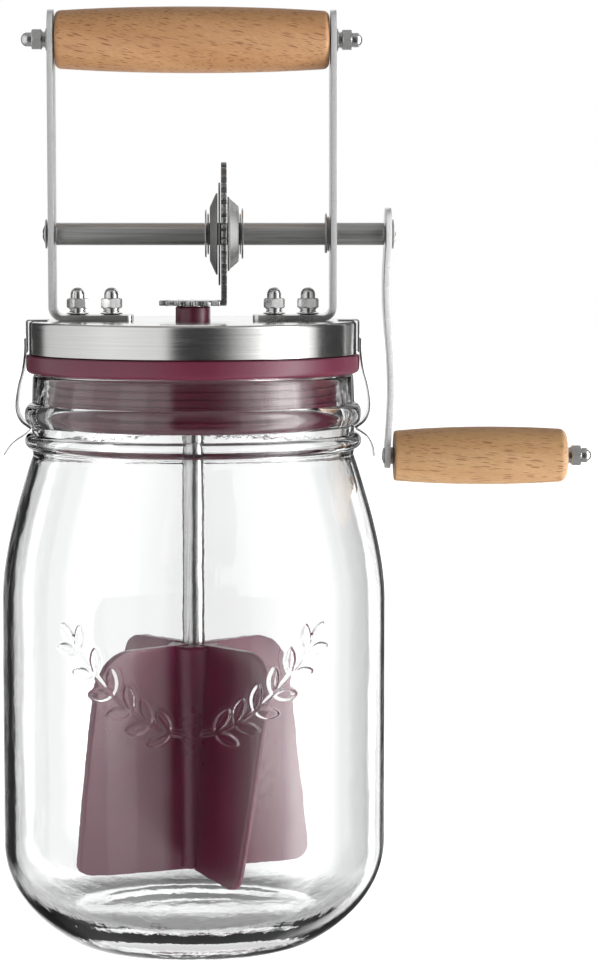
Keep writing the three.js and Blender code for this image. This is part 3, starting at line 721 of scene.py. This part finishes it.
def seal():
    plug, flange = SEAL_PLUG_RADIUS, SEAL.x1
    outline = [(BUSH_RADIUS + FIT, SEAL_PLATE_FOOT), (plug - SEAL_PLUG_WALL, SEAL_PLATE_FOOT, 1.5)]
    outline += [(plug - SEAL_PLUG_WALL, SEAL.z0, 0.8), (plug, SEAL.z0, 0.8)]
    for i in range(RIBS):
        z = SEAL.z0 + (i + 0.6) * RIB_PITCH
        outline += [(plug, z, 0.2), (plug + RIB_REACH, z + 0.5, 0.25), (plug, z + 1, 0.2)]
    outline += [
        (plug, SEAL_FLANGE_FOOT, 1.0), (flange, SEAL_FLANGE_FOOT, 2.2), (flange, SEAL_FLANGE_TOP, 0.6),
        (LID.x1 - LID_SHEET - FIT, SEAL_FLANGE_TOP, 0.3), (LID.x1 - LID_SHEET - FIT, SEAL.z1, 0.5),
        (BUSH_RADIUS + FIT, SEAL.z1),
    ]
    return turned("fine_lid_seal", rounded(outline, closed=True), 160)


show(lid(), "lid")
show(seal(), "seal")

BUSH = Span("shaft_bush")
BUSH_BORE = 4.3
COLLAR_RADIUS = 12.0
COLLAR_TOP = 221.3
show(turned("fine_shaft_bush", rounded([
    (BUSH_BORE, BUSH.z0, 0.3), (BUSH_RADIUS, BUSH.z0, 0.5), (BUSH_RADIUS, SEAL.z1),
    (COLLAR_RADIUS, SEAL.z1, 0.5), (COLLAR_RADIUS, COLLAR_TOP, 0.5), (BUSH_RADIUS, COLLAR_TOP),
    (BUSH_RADIUS, BUSH.z1, 0.7), (BUSH_BORE, BUSH.z1, 0.3),
], closed=True)), "plastic")

# ---- straps and their fasteners


def bracket(side):
    """An L-shaped strap, bent from the foot on the lid up to a rounded top."""
    half = (STRAP.y1 - STRAP.y0) / 2
    outer = STRAP.x1
    bend, end_round, reach = 5.0, 2.0, 9  # a hole's cutter goes that reach to both sides
    stations = []
    for x, _ in arc((0, 0), end_round, 180, 90, 5):
        shrink = end_round - math.sqrt(max(0, end_round**2 - x**2))
        stations.append((STRAP.x0 + end_round + x, STRAP.z0 - FIT, half - shrink))
    stations += [(x, z, half) for x, z in arc((outer - bend, STRAP.z0 - FIT + bend), bend, -90, 0, 10)]
    for _, up in arc((0, 0), half, 0, 86, 20):
        stations.append((outer, STRAP.z1 - half + up, math.sqrt(half**2 - up**2)))
    strap = sheet_strip(f"fine_bracket_{side}", stations, STRAP_THICK, 0.4)
    shaft_hole = FIT + (SHAFT_RADIUS if side == "right" else JOURNAL_RADIUS)
    holes = [about_x(rod("hole", shaft_hole, outer - reach, outer + reach)),
             about_x(rod("hole", SCREW_HOLE, outer - reach, outer + reach), z=HANDLE_Z)]
    low, high = STRAP.z0 - 4, FOOT_TOP + 4
    holes += [moved(rod("hole", SCREW_HOLE, low, high), shift(x)) for x in FOOT_SCREW_X[2:]]
    combine(strap, holes, "DIFFERENCE")
    return moved(strap, SIDES[side])


def acorn_nut(name):
    """A hexagon nut with a chamfered body, a stepped collar below and a dome above, about +Z from 0."""
    flats, rim, groove, dome = 3.5, 3.0, 2.6, 2.6  # radii, the hexagon's across its flats
    step, collar, head, dome_foot = 0.5, 1.4, 5.0, 6.3  # heights
    chamfer = ((3.35, 0), (3.6, 0.15), (3.85, 0.32), (4.05, 0.5))  # (radius, height) from the end

    def hexagonal(radius, height, angle):
        if radius < chamfer[0][0]:
            return radius
        across = flats / math.cos(math.remainder(angle, math.pi / 3))
        return min(across, radius)

    profile = [(0, 0), (rim, 0), (rim, step), (groove, step + 0.1), (groove, step + 0.3)]
    profile += [(rim, step + 0.4), (rim, collar)]
    profile += [(radius, collar + height) for radius, height in chamfer]
    profile += [(radius, head - height) for radius, height in reversed(chamfer)]
    profile += [(dome, head + 0.05), *arc((0, dome_foot), dome, 0, 90, 12)]
    profile[-1] = (0, dome_foot + dome)
    return turned(name, profile, FINE, hexagonal, sharp_angle=24)


def dished_washer(name, inner=SCREW_HOLE, outer=4.0, thick=0.35, rise=0.4):
    """A thin washer about +Z whose outer edge stands a little above its bore."""
    return turned(name, rounded([
        (inner, 0, 0.1), (outer, rise, 0.15), (outer, rise + thick, 0.15), (inner, thick + 0.1, 0.1),
    ], closed=True), SMALL)


def pan_screw(name, head, height, shank, length):
    """A pan-head screw with a cross recess, its head's flat side at 0 and its shank below."""
    made = turned(name, rounded([
        (0, -length), (shank, -length, 0.3), (shank, 0), (head, 0, 0.15), (head, height * 0.4, head * 0.5),
        (head * 0.45, height, 1.2), (0, height),
    ]), SMALL)
    reach, half = head * 0.55, 0.28
    slots = []
    for turn in (0, 90):
        arm = [(-reach, -half), (reach, -half), (reach, half), (-reach, half)]
        slots.append(moved(extruded("slot", arm, 2), spin(turn), shift(z=height * 0.45)))
    return combine(made, slots, "DIFFERENCE")


for side in SIDES:
    show(bracket(side), "strap")

FOOT_NUT_TURNS = (-14, -9, -11, -15)  # degrees, as if each was tightened by hand
NUT_CORNER = spin(30)  # turns a corner, not a flat, to the front
NUT_DOWN = 0.35  # how far a foot's nut sits below its CAD node, down on the dished washer
for number, x in enumerate(FOOT_SCREW_X, 1):
    lid_underside = LID.z1 - LID_SHEET
    length = Span(f"foot_screw_{number}").z1 - lid_underside
    screw = pan_screw(f"fine_foot_screw_{number}", 3.6, 2.2, 2.0, length)
    show(moved(screw, HEAD_DOWN, shift(x, 0, lid_underside)), "plated")
    washer = dished_washer(f"fine_foot_washer_{number}")
    show(moved(washer, shift(x, 0, FOOT_TOP - FIT)), "dull")
    nut = acorn_nut(f"fine_foot_nut_{number}")
    turn = spin(FOOT_NUT_TURNS[number - 1])
    show(moved(nut, turn, shift(x, 0, Span(f"foot_nut_{number}").z0 - NUT_DOWN)), "plated")

# ---- wooden barrels


def barrel(name, length, ends, middle, corners, bore):
    """A turned barrel about +Z from 0, swelling from each end's radius to the middle's."""
    low, high = ends
    foot_round, head_round = corners
    swell, edge = 1.25, 0.5
    side = bezier(
        (low, foot_round), (low + (middle - low) * swell, length * 0.32),
        (high + (middle - high) * swell, length * 0.68), (high, length - head_round), 40,
    )
    foot = arc((low - foot_round, foot_round), foot_round, -90, 0, 8)[:-1]
    head = arc((high - head_round, length - head_round), head_round, 0, 90, 8)[1:]
    bore_foot = [(bore, 0.3), (bore + edge, 0)]
    bore_head = [(bore + edge, length), (bore, length - 0.3)]
    return turned(name, [*bore_foot, *foot, *side, *head, *bore_head])


handle = barrel("fine_top_handle", HANDLE.x1 - HANDLE.x0, (10.35, 10.35), 11.85, (2.2, 2.2), SCREW_HOLE)
show(about_x(handle, HANDLE.x0, HANDLE_Z), "handle")
rod_span = Span("handle_rod")
show(about_x(rod("fine_handle_rod", 2.0, rod_span.x0, rod_span.x1), 0, HANDLE_Z), "plated")
for side, turn in SIDES.items():
    washer = about_x(dished_washer(f"fine_handle_washer_{side}"), STRAP.x1, HANDLE_Z)
    show(moved(washer, turn), "dull")
    nut = moved(acorn_nut(f"fine_handle_nut_{side}"), NUT_CORNER)
    show(moved(about_x(nut, Span("handle_nut_right").x0 - FIT, HANDLE_Z), turn), "plated")

grip = barrel("fine_crank_grip", GRIP.x1 - GRIP.x0, (9.1, 9.65), 10.5, (0.8, 3.0), 2.5)
show(about_x(grip, GRIP.x0, GRIP_Z), "grip")

# ---- crank shaft and its stack

SHAFT_LEFT = -48.9
SHAFT_RIGHT = 68.7
GROOVE = 0.7
SQUARE_END = 2.5  # half the width of the square under the crank arm
RINGS = {"clutch_ring_left": 8.8, "clutch_ring_right": 9.3, "bracket_ring": 7.4}  # outer radii
WASHERS = {"clutch_washer_left": 7.3, "clutch_washer_right": 7.3, "bracket_washer": 6.2}


def square(half):
    return [(-half, -half), (half, -half), (half, half), (-half, half)]


def crank_shaft():
    """The round shaft with its grooves, the journal at its left end and the square at its right end."""
    radius = SHAFT_RADIUS
    profile = [(0, SHAFT.x0), (JOURNAL_RADIUS, SHAFT.x0, 0.3), (JOURNAL_RADIUS, SHAFT_LEFT)]
    profile += [(radius, SHAFT_LEFT, 0.6)]
    for ring in sorted((Span(name) for name in RINGS), key=lambda span: span.x0):
        left, right = ring.x0 - 0.1, ring.x1 + 0.1
        profile += [(radius, left), (radius - GROOVE, left), (radius - GROOVE, right), (radius, right)]
    profile += [(radius, SHAFT_RIGHT, 0.6), (0, SHAFT_RIGHT)]
    made = turned("fine_crank_shaft", rounded(profile), FINE)
    length = 4
    end = moved(bevel(extruded("square", square(SQUARE_END), length), 0.3), shift(z=SHAFT.x1 - length))
    return about_x(combine(made, [end], "UNION"))


def retaining_ring(name, outer, thick):
    """A C-shaped ring, open at its foot, in a shaft's groove."""
    bore = SHAFT_RADIUS - GROOVE + 0.05
    opening = 0.85  # as a share of the bore
    outer_gap = math.degrees(math.asin(bore * opening / outer))
    bore_gap = math.degrees(math.asin(opening))
    outline = arc((0, 0), outer, -90 + outer_gap, 270 - outer_gap, 60)
    outline += arc((0, 0), bore, 270 - bore_gap, -90 + bore_gap, 40)
    return bevel(extruded(name, outline, thick), 0.08, 2)


def clutch_plate(name, flat, flat_radius, rim, rim_radius):
    """A dished plate from its flat end to its rim beside the wheel."""
    bore, thick = SHAFT_RADIUS + 0.1, 0.9
    out = math.copysign(1, rim - flat)
    inside = flat + out * thick
    outline = [
        (bore, flat, 0.2), (flat_radius, flat, 1.6), (rim_radius - 0.8, rim - out * 0.9, 0.8),
        (rim_radius, rim - out * 0.5, 0.25), (rim_radius, rim, 0.2), (rim_radius - 1.2, rim, 0.4),
        (flat_radius - 0.6, inside, 1.2), (bore, inside, 0.2),
    ]
    return about_x(turned(name, rounded(outline, closed=True), FINE))


show(crank_shaft(), "shaft")
for name, outer in RINGS.items():
    span = Span(name)
    ring = retaining_ring(f"fine_{name}", outer, span.x1 - span.x0)
    show(about_x(ring, span.x0), "plated")
for name, outer in WASHERS.items():
    span = Span(name)
    washer = flat_ring(f"fine_{name}", SHAFT_RADIUS + 0.05, outer, span.x0, span.x1, (0.1, 0.15))
    show(about_x(washer), "dull")
show(clutch_plate("fine_clutch_plate_left", 6.1, 9.6, 8.9, 14.6), "plate")
show(clutch_plate("fine_clutch_plate_right", 16.5, 9.8, 12.45, 13.3), "plate")
disc_span = Span("backing_disc")
disc = flat_ring("fine_backing_disc", SHAFT_RADIUS + 0.1, 18.35, disc_span.x0, disc_span.x1, sides=FINE)
show(about_x(disc), "plate")

# ---- gears


def gear(name, teeth, root, tip, root_width, tip_width, bore, thick, first_tooth):
    """A spur gear about +Z from 0, with straight flanks and slightly rounded tooth corners."""
    step = 2 * math.pi / teeth
    half_root = math.asin(root_width / 2 / root)
    half_tip = math.asin(tip_width / 2 / tip)
    flank = [(root, -half_root), (tip - 0.25, -half_tip * 1.12), (tip, -half_tip * 0.72)]
    gap = (root - 0.12, step / 2)
    tooth = [*flank, (tip, 0), *[(radius, -turn) for radius, turn in reversed(flank)], gap]
    ring = []
    for i in range(teeth):
        middle = math.radians(first_tooth) + i * step
        ring += [(radius, middle + turn) for radius, turn in tooth]
    count = len(ring)
    vertices = []
    for height in (0, thick):
        vertices += [(r * math.cos(a), r * math.sin(a), height) for r, a in ring]
        vertices += [(bore * math.cos(a), bore * math.sin(a), height) for _, a in ring]
    faces = []
    for i in range(count):
        k = (i + 1) % count
        faces.append((i, k, count + k, count + i))
        faces.append((2 * count + i, 3 * count + i, 3 * count + k, 2 * count + k))
        faces.append((i, 2 * count + i, 2 * count + k, k))
        faces.append((count + i, count + k, 3 * count + k, 3 * count + i))
    return bevel(make_object(name, vertices, faces), 0.28, 2, 40)


WHEEL_TEETH = 30
PINION_TEETH = 14
PINION = Span("pinion")
wheel = gear("fine_gear_wheel", WHEEL_TEETH, 22.9, 25.55, 2.6, 1.4, 4.1, 2.0, -90)
show(about_x(wheel, Span("gear_wheel").x0), "gear")
pinion = gear("fine_pinion", PINION_TEETH, 9.3, 12.4, 1.9, 1.1, 2.55, 1.8, 180 / PINION_TEETH)
show(moved(pinion, shift(z=PINION.z0)), "pinion")

# ---- crank arm

ARM_TOP, ARM_END = 9.4, 4.6  # the radii of its two ends
ARM_THICK = 2.0
ARM_FACE = 69.0  # its inner face
ARM_BOWS = ((250, 219, -0.7), (219, 177, 1.1))  # (from height, to height, depth) of its S-bend


def arm_bend(z):
    for start, end, depth in ARM_BOWS:
        if end < z < start:
            return depth * math.sin(math.pi * (start - z) / (start - end))
    return 0.0


def arm_half_width(z):
    slope = math.asin((ARM_TOP - ARM_END) / (SHAFT_Z - GRIP_Z))
    top_touch = SHAFT_Z + ARM_TOP * math.sin(slope)
    end_touch = GRIP_Z + ARM_END * math.sin(slope)
    if z >= top_touch:
        return math.sqrt(max(0.0, ARM_TOP**2 - (z - SHAFT_Z) ** 2))
    if z <= end_touch:
        return math.sqrt(max(0.0, ARM_END**2 - (z - GRIP_Z) ** 2))
    share = (z - end_touch) / (top_touch - end_touch)
    return (ARM_END + (ARM_TOP - ARM_END) * share) * math.cos(slope)


def crank_arm():
    stations = []
    levels = 72
    for i in range(levels + 1):
        share = (1 - math.cos(math.pi * i / levels)) / 2
        z = ARM.z1 + (ARM.z0 - ARM.z1) * share
        stations.append((ARM_FACE + arm_bend(z), z, max(arm_half_width(z), 0.4)))
    arm = sheet_strip("fine_crank_arm", stations, ARM_THICK, 0.4)
    low, high = ARM_FACE - 3, ARM_FACE + 6
    holes = [about_x(extruded("hole", square(SQUARE_END + 0.2), high - low), low),
             about_x(rod("hole", 2.1, low, high), z=GRIP_Z)]
    return combine(arm, holes, "DIFFERENCE")


def end_fasteners(washer_node, screw_node, face, turn):
    washer = about_x(dished_washer(f"fine_{washer_node}", 2.0, 5.3, 0.5, 0.5), face)
    show(moved(washer, turn), "plated")
    screw = about_x(pan_screw(f"fine_{screw_node}", 3.4, 1.4, 1.7, 7), face + 0.6)
    show(moved(screw, turn), "plated")


show(crank_arm(), "arm")
end_fasteners("crank_washer", "crank_screw", ARM_FACE + ARM_THICK, Matrix())
end_fasteners("shaft_end_washer", "shaft_end_screw", -SHAFT.x0, FLIP)

bolt = pan_screw("fine_grip_bolt", 2.9, 0.9, 2.0, Span("grip_bolt").x1 - ARM_FACE)
show(about_x(moved(bolt, HEAD_DOWN), ARM_FACE, GRIP_Z), "dull")
spacer_span = Span("grip_spacer")
spacer = flat_ring("fine_grip_spacer", 2.1, 3.1, spacer_span.x0 - FIT, spacer_span.x1, (0, 0.2))
show(about_x(spacer, 0, GRIP_Z), "dull")
grip_nut = moved(acorn_nut("fine_grip_nut"), NUT_CORNER)
show(about_x(grip_nut, Span("grip_nut").x0, GRIP_Z), "plated")

# ---- paddle

PADDLE = Span("paddle")
BLADES = 4
FIRST_AZIMUTH = -60
BLADE_TWIST = 20  # degrees over the paddle's height
BLADE_THICK = 2.8
BLADE_ROOT = 2.0  # where a blade starts, inside the hub
HUB_SHORT = 0.4
TIP_LOW, TIP_HIGH = 45.0, 43.6
LOWER_CORNER, SHOULDER = 5.5, 14.0
PADDLE_BORE_FOOT = 66.0


def blade_edge():
    """(tip radius, height) up the blade's outer edge."""
    foot, top = PADDLE.z0 + LOWER_CORNER, PADDLE.z1 - SHOULDER
    edge = arc((TIP_LOW - LOWER_CORNER, foot), LOWER_CORNER, -90, 0, 12)
    steps = 30
    edge += [
        (TIP_LOW + (TIP_HIGH - TIP_LOW) * i / steps, foot + (top - foot) * i / steps)
        for i in range(1, steps)
    ]
    return edge + arc((TIP_HIGH - SHOULDER, top), SHOULDER, 0, 90, 16)


def blade(azimuth):
    """A blade whose azimuth turns steadily with height, with a rounded outer edge."""
    middle = (PADDLE.z0 + PADDLE.z1) / 2
    half = BLADE_THICK / 2
    rows = []
    for tip, z in blade_edge():
        turn = azimuth + BLADE_TWIST * (z - middle) / (PADDLE.z1 - PADDLE.z0)
        swing = spin(turn)
        outline = [(BLADE_ROOT, -half), (tip - half, -half)]
        outline += arc((tip - half, 0), half, -75, 75, 6)
        outline += [(tip - half, half), (BLADE_ROOT, half)]
        rows.append([swing @ Vector((x, y, z)) for x, y in outline])
    return lofted("blade", rows, 50)


def paddle():
    """Four blades on a hub that stops a little short of their ends."""
    low, high = PADDLE.z0 + HUB_SHORT, PADDLE.z1 - HUB_SHORT
    hub = turned("fine_paddle", rounded([
        (0, low), (5.8, low, 1.0), (6.2, 60, 6), (10, high - 1, 0.5), (9, high, 0.4), (0, high),
    ]), 64)
    combine(hub, [blade(FIRST_AZIMUTH + 360 / BLADES * i) for i in range(BLADES)], "UNION")
    bore = rod("bore", SHAFT_RADIUS + 0.1, PADDLE_BORE_FOOT, PADDLE.z1 + 2)
    return combine(hub, [bore], "DIFFERENCE")


def paddle_shaft():
    """A rod with a groove for its ring under the bush and a neck at its top for the pinion."""
    span = Span("paddle_shaft")
    ring = Span("paddle_shaft_ring")
    radius, neck = SHAFT_RADIUS, 2.5
    return turned("fine_paddle_shaft", rounded([
        (0, span.z0), (radius, span.z0, 0.3), (radius, ring.z0 - 0.1), (radius - GROOVE, ring.z0 - 0.1),
        (radius - GROOVE, ring.z1 + 0.1), (radius, ring.z1 + 0.1), (radius, PINION.z0, 0.1),
        (neck, PINION.z0), (neck, span.z1, 0.4), (0, span.z1),
    ]), SMALL)


show(paddle(), "plastic")
show(paddle_shaft(), "rod")
ring_span = Span("paddle_shaft_ring")
shaft_ring = retaining_ring("fine_paddle_shaft_ring", 7.4, ring_span.z1 - ring_span.z0)
show(moved(shaft_ring, shift(z=ring_span.z0)), "plated")

# ---- lid clips

CLIP_HALF = 8.0
CLIP_SHEET = 0.4
CLIP_X = 60.0
TAIL_ROUND = 4.0
# (height, distance outwards from CLIP_X) of the points that a clip bends through.
CLIP_BODY = ((216.3, 0), (211.8, 0), (205, 0.85), (199.5, 2.3), (193.5, 3.2), (189.6, 2.9), (186.4, 1.3))
CLIP_VEE = (184, -1.8)
CLIP_TAILS = {
    "left": ((181.9, 0.4), (179.9, 3.5), (177.3, 6.1), (174.4, 7.9)),
    "right": ((182.6, 0.5), (180.6, 2.9), (177.2, 4.5), (173.6, 5)),
}


def spring_clip(side):
    """A thin strip down the neck, into the groove and out again as a rounded tail."""
    body = smooth_path([(CLIP_X + out, z) for z, out in (*CLIP_BODY, CLIP_VEE)], 6)
    tail = smooth_path([(CLIP_X + out, z) for z, out in (CLIP_VEE, *CLIP_TAILS[side])], 6)
    path = body + tail[1:]
    foot = path[-1][1]
    stations = []
    for x, z in path:
        below = TAIL_ROUND - min(z - foot, TAIL_ROUND)
        half = CLIP_HALF - TAIL_ROUND + math.sqrt(TAIL_ROUND**2 - below**2)
        stations.append((x + CLIP_SHEET / 2, z, half))
    clip = sheet_strip(f"fine_spring_clip_{side}", stations[::-1], CLIP_SHEET, 0.08)
    return moved(clip, SIDES[side])


def clip_plate(side):
    span = Span("clip_plate_right")
    inner = span.x1 - CLIP_SHEET
    top = span.z1 - 0.1
    under = top - CLIP_SHEET
    bend = 0.5
    stations = [(span.x0, under, CLIP_HALF - 1), (span.x0 + 1, under, CLIP_HALF)]
    stations += [(x, z, CLIP_HALF) for x, z in arc((inner - bend, under - bend), bend, 90, 0, 5)]
    stations += [(inner, span.z0 + 0.5, CLIP_HALF), (inner, span.z0, CLIP_HALF - 0.5)]
    plate = sheet_strip(f"fine_clip_plate_{side}", stations, CLIP_SHEET, 0.08)
    return moved(plate, SIDES[side])


for side in SIDES:
    show(spring_clip(side), "spring")
    show(clip_plate(side), "spring")

# ---- floor, light and camera

# How bright the studio is at each azimuth in degrees, from the front and positive towards the crank.
STUDIO = (
    (-180, 1.2), (-168, 1.1), (-160, 0.06), (-131, 0.06), (-125, 0.95), (-107, 1.05), (-60, 1.35),
    (-19, 1.2), (-12, 0.06), (12, 0.06), (22, 0.2), (40, 1.2), (52, 2.0), (64, 6.5), (78, 7.0),
    (84, 2.0), (93, 1.4), (99, 0.06), (134, 0.06), (139, 3.4), (149, 3.4), (155, 0.08), (169, 0.08),
    (175, 1.1), (180, 1.2),
)
STUDIO_MOST = 7.0
WHITE = 1.0
DARK = 0.05
CEILING = 0.5
GROUND = 0.9  # what clear glass shows of the ground from high above
EDGE_BANDS = 8  # dark bands all round, which only the inside reflections in clear glass meet
EDGE_FILL = 0.75
TABLE_GLOW = 0.8  # the table is lit from below
# How much of the even light arrives from each side: (-1 left to 1 right, strength).
SIDE_LIGHT = ((-1, 1.9), (-0.4, 1.0), (0.25, 1.0), (0.9, 5.0))
SIDE_MOST = 5.0


def stage_floor():
    """A white table that only the camera sees: what the object mirrors or lets through is the studio."""
    just_below = (0, 0, -0.2 * MM)
    bpy.ops.mesh.primitive_circle_add(vertices=128, radius=6, fill_type="NGON", location=just_below)
    floor = bpy.context.object
    floor.name = "floor"
    floor.visible_transmission = False
    floor.visible_glossy = False
    floor.visible_diffuse = False
    look = Look("floor", (0.94, 0.94, 0.94), 1.0)
    look.put("Specular IOR Level", 0.0)
    look.put("Emission Color", (1, 1, 1, 1))
    look.put("Emission Strength", TABLE_GLOW)
    floor.data.materials.append(look.material)


def studio_light():
    """White behind the object, softboxes on both sides and a dark room in front of it.

    Clear glass shows a white backdrop with dark bands above and below it, and its inside reflections
    meet more dark bands, which draw its edges. The light on the object's own colours comes from all
    round, strongest from both sides and from below.
    """
    world = bpy.data.worlds.new("studio")
    world.use_nodes = True
    world.cycles.sampling_method = "NONE"
    bpy.context.scene.world = world
    look = Tree(world.node_tree)
    direction = look.add("ShaderNodeTexCoord").outputs["Generated"]
    x, y, up = look.add("ShaderNodeSeparateXYZ", {0: direction}).outputs
    azimuth = look.math("ARCTAN2", x, look.math("MULTIPLY", y, -1.0))
    steep = look.math("ABSOLUTE", up)
    ray = look.add("ShaderNodeLightPath").outputs

    stops = [((degrees + 180) / 360, level) for degrees, level in STUDIO]
    around = look.levels(look.remap(azimuth, -math.pi, math.pi), stops, STUDIO_MOST)
    softboxes = look.mix(look.remap(steep, 0.6, 0.85), around, (CEILING,) * 3)
    wave = look.math("COSINE", look.math("MULTIPLY", azimuth, EDGE_BANDS))
    bands = look.remap(wave, -0.1, 0.3)
    weakest = look.remap(y, -0.1, 0.15, 0.5, DARK)
    banded = look.math("MULTIPLY", look.math("MAXIMUM", bands, weakest), softboxes)
    edges = look.mix(look.remap(steep, 0.28, 0.4), banded, (EDGE_FILL,) * 3)
    horizon = look.remap(steep, 0.36, 0.48, WHITE, DARK)
    backdrop = look.math("MAXIMUM", horizon, look.remap(steep, 0.7, 0.85, DARK, GROUND))
    side_stops = [((side + 1) / 2, level) for side, level in SIDE_LIGHT]
    sides = look.levels(look.remap(x, -1, 1), side_stops, SIDE_MOST)
    even = look.math("MULTIPLY", look.remap(up, -0.1, 0.8, 1.08, 0.03), sides)

    inside = look.math("MULTIPLY", look.math("COMPARE", ray["Glossy Depth"], 1.0),
                       look.math("COMPARE", ray["Transmission Depth"], 2.0))
    mirrored = look.mix(inside, softboxes, edges)
    clear = look.mix(look.math("GREATER_THAN", ray["Glossy Depth"], 0.5), backdrop, mirrored)
    lit = look.mix(look.math("GREATER_THAN", ray["Diffuse Depth"], 0.5), clear, even)
    seen = look.mix(ray["Is Camera Ray"], lit, (WHITE,) * 3)
    look.feed(look.tree.nodes["Background"].inputs["Color"], seen)


def camera():
    """A long lens in front of the churn, a little above it and looking slightly down."""
    down, aside = 5.0, 1.66  # degrees
    data = bpy.data.cameras.new("camera")
    data.lens = 106.9
    data.sensor_width = 36
    made = bpy.data.objects.new("camera", data)
    made.location = (0.008, -1.026, 0.2546)
    made.rotation_euler = (math.radians(90 - down), 0, math.radians(-aside))
    bpy.context.scene.collection.objects.link(made)
    bpy.context.scene.camera = made


stage_floor()
studio_light()
camera()
bpy.context.scene.view_settings.view_transform = "Standard"
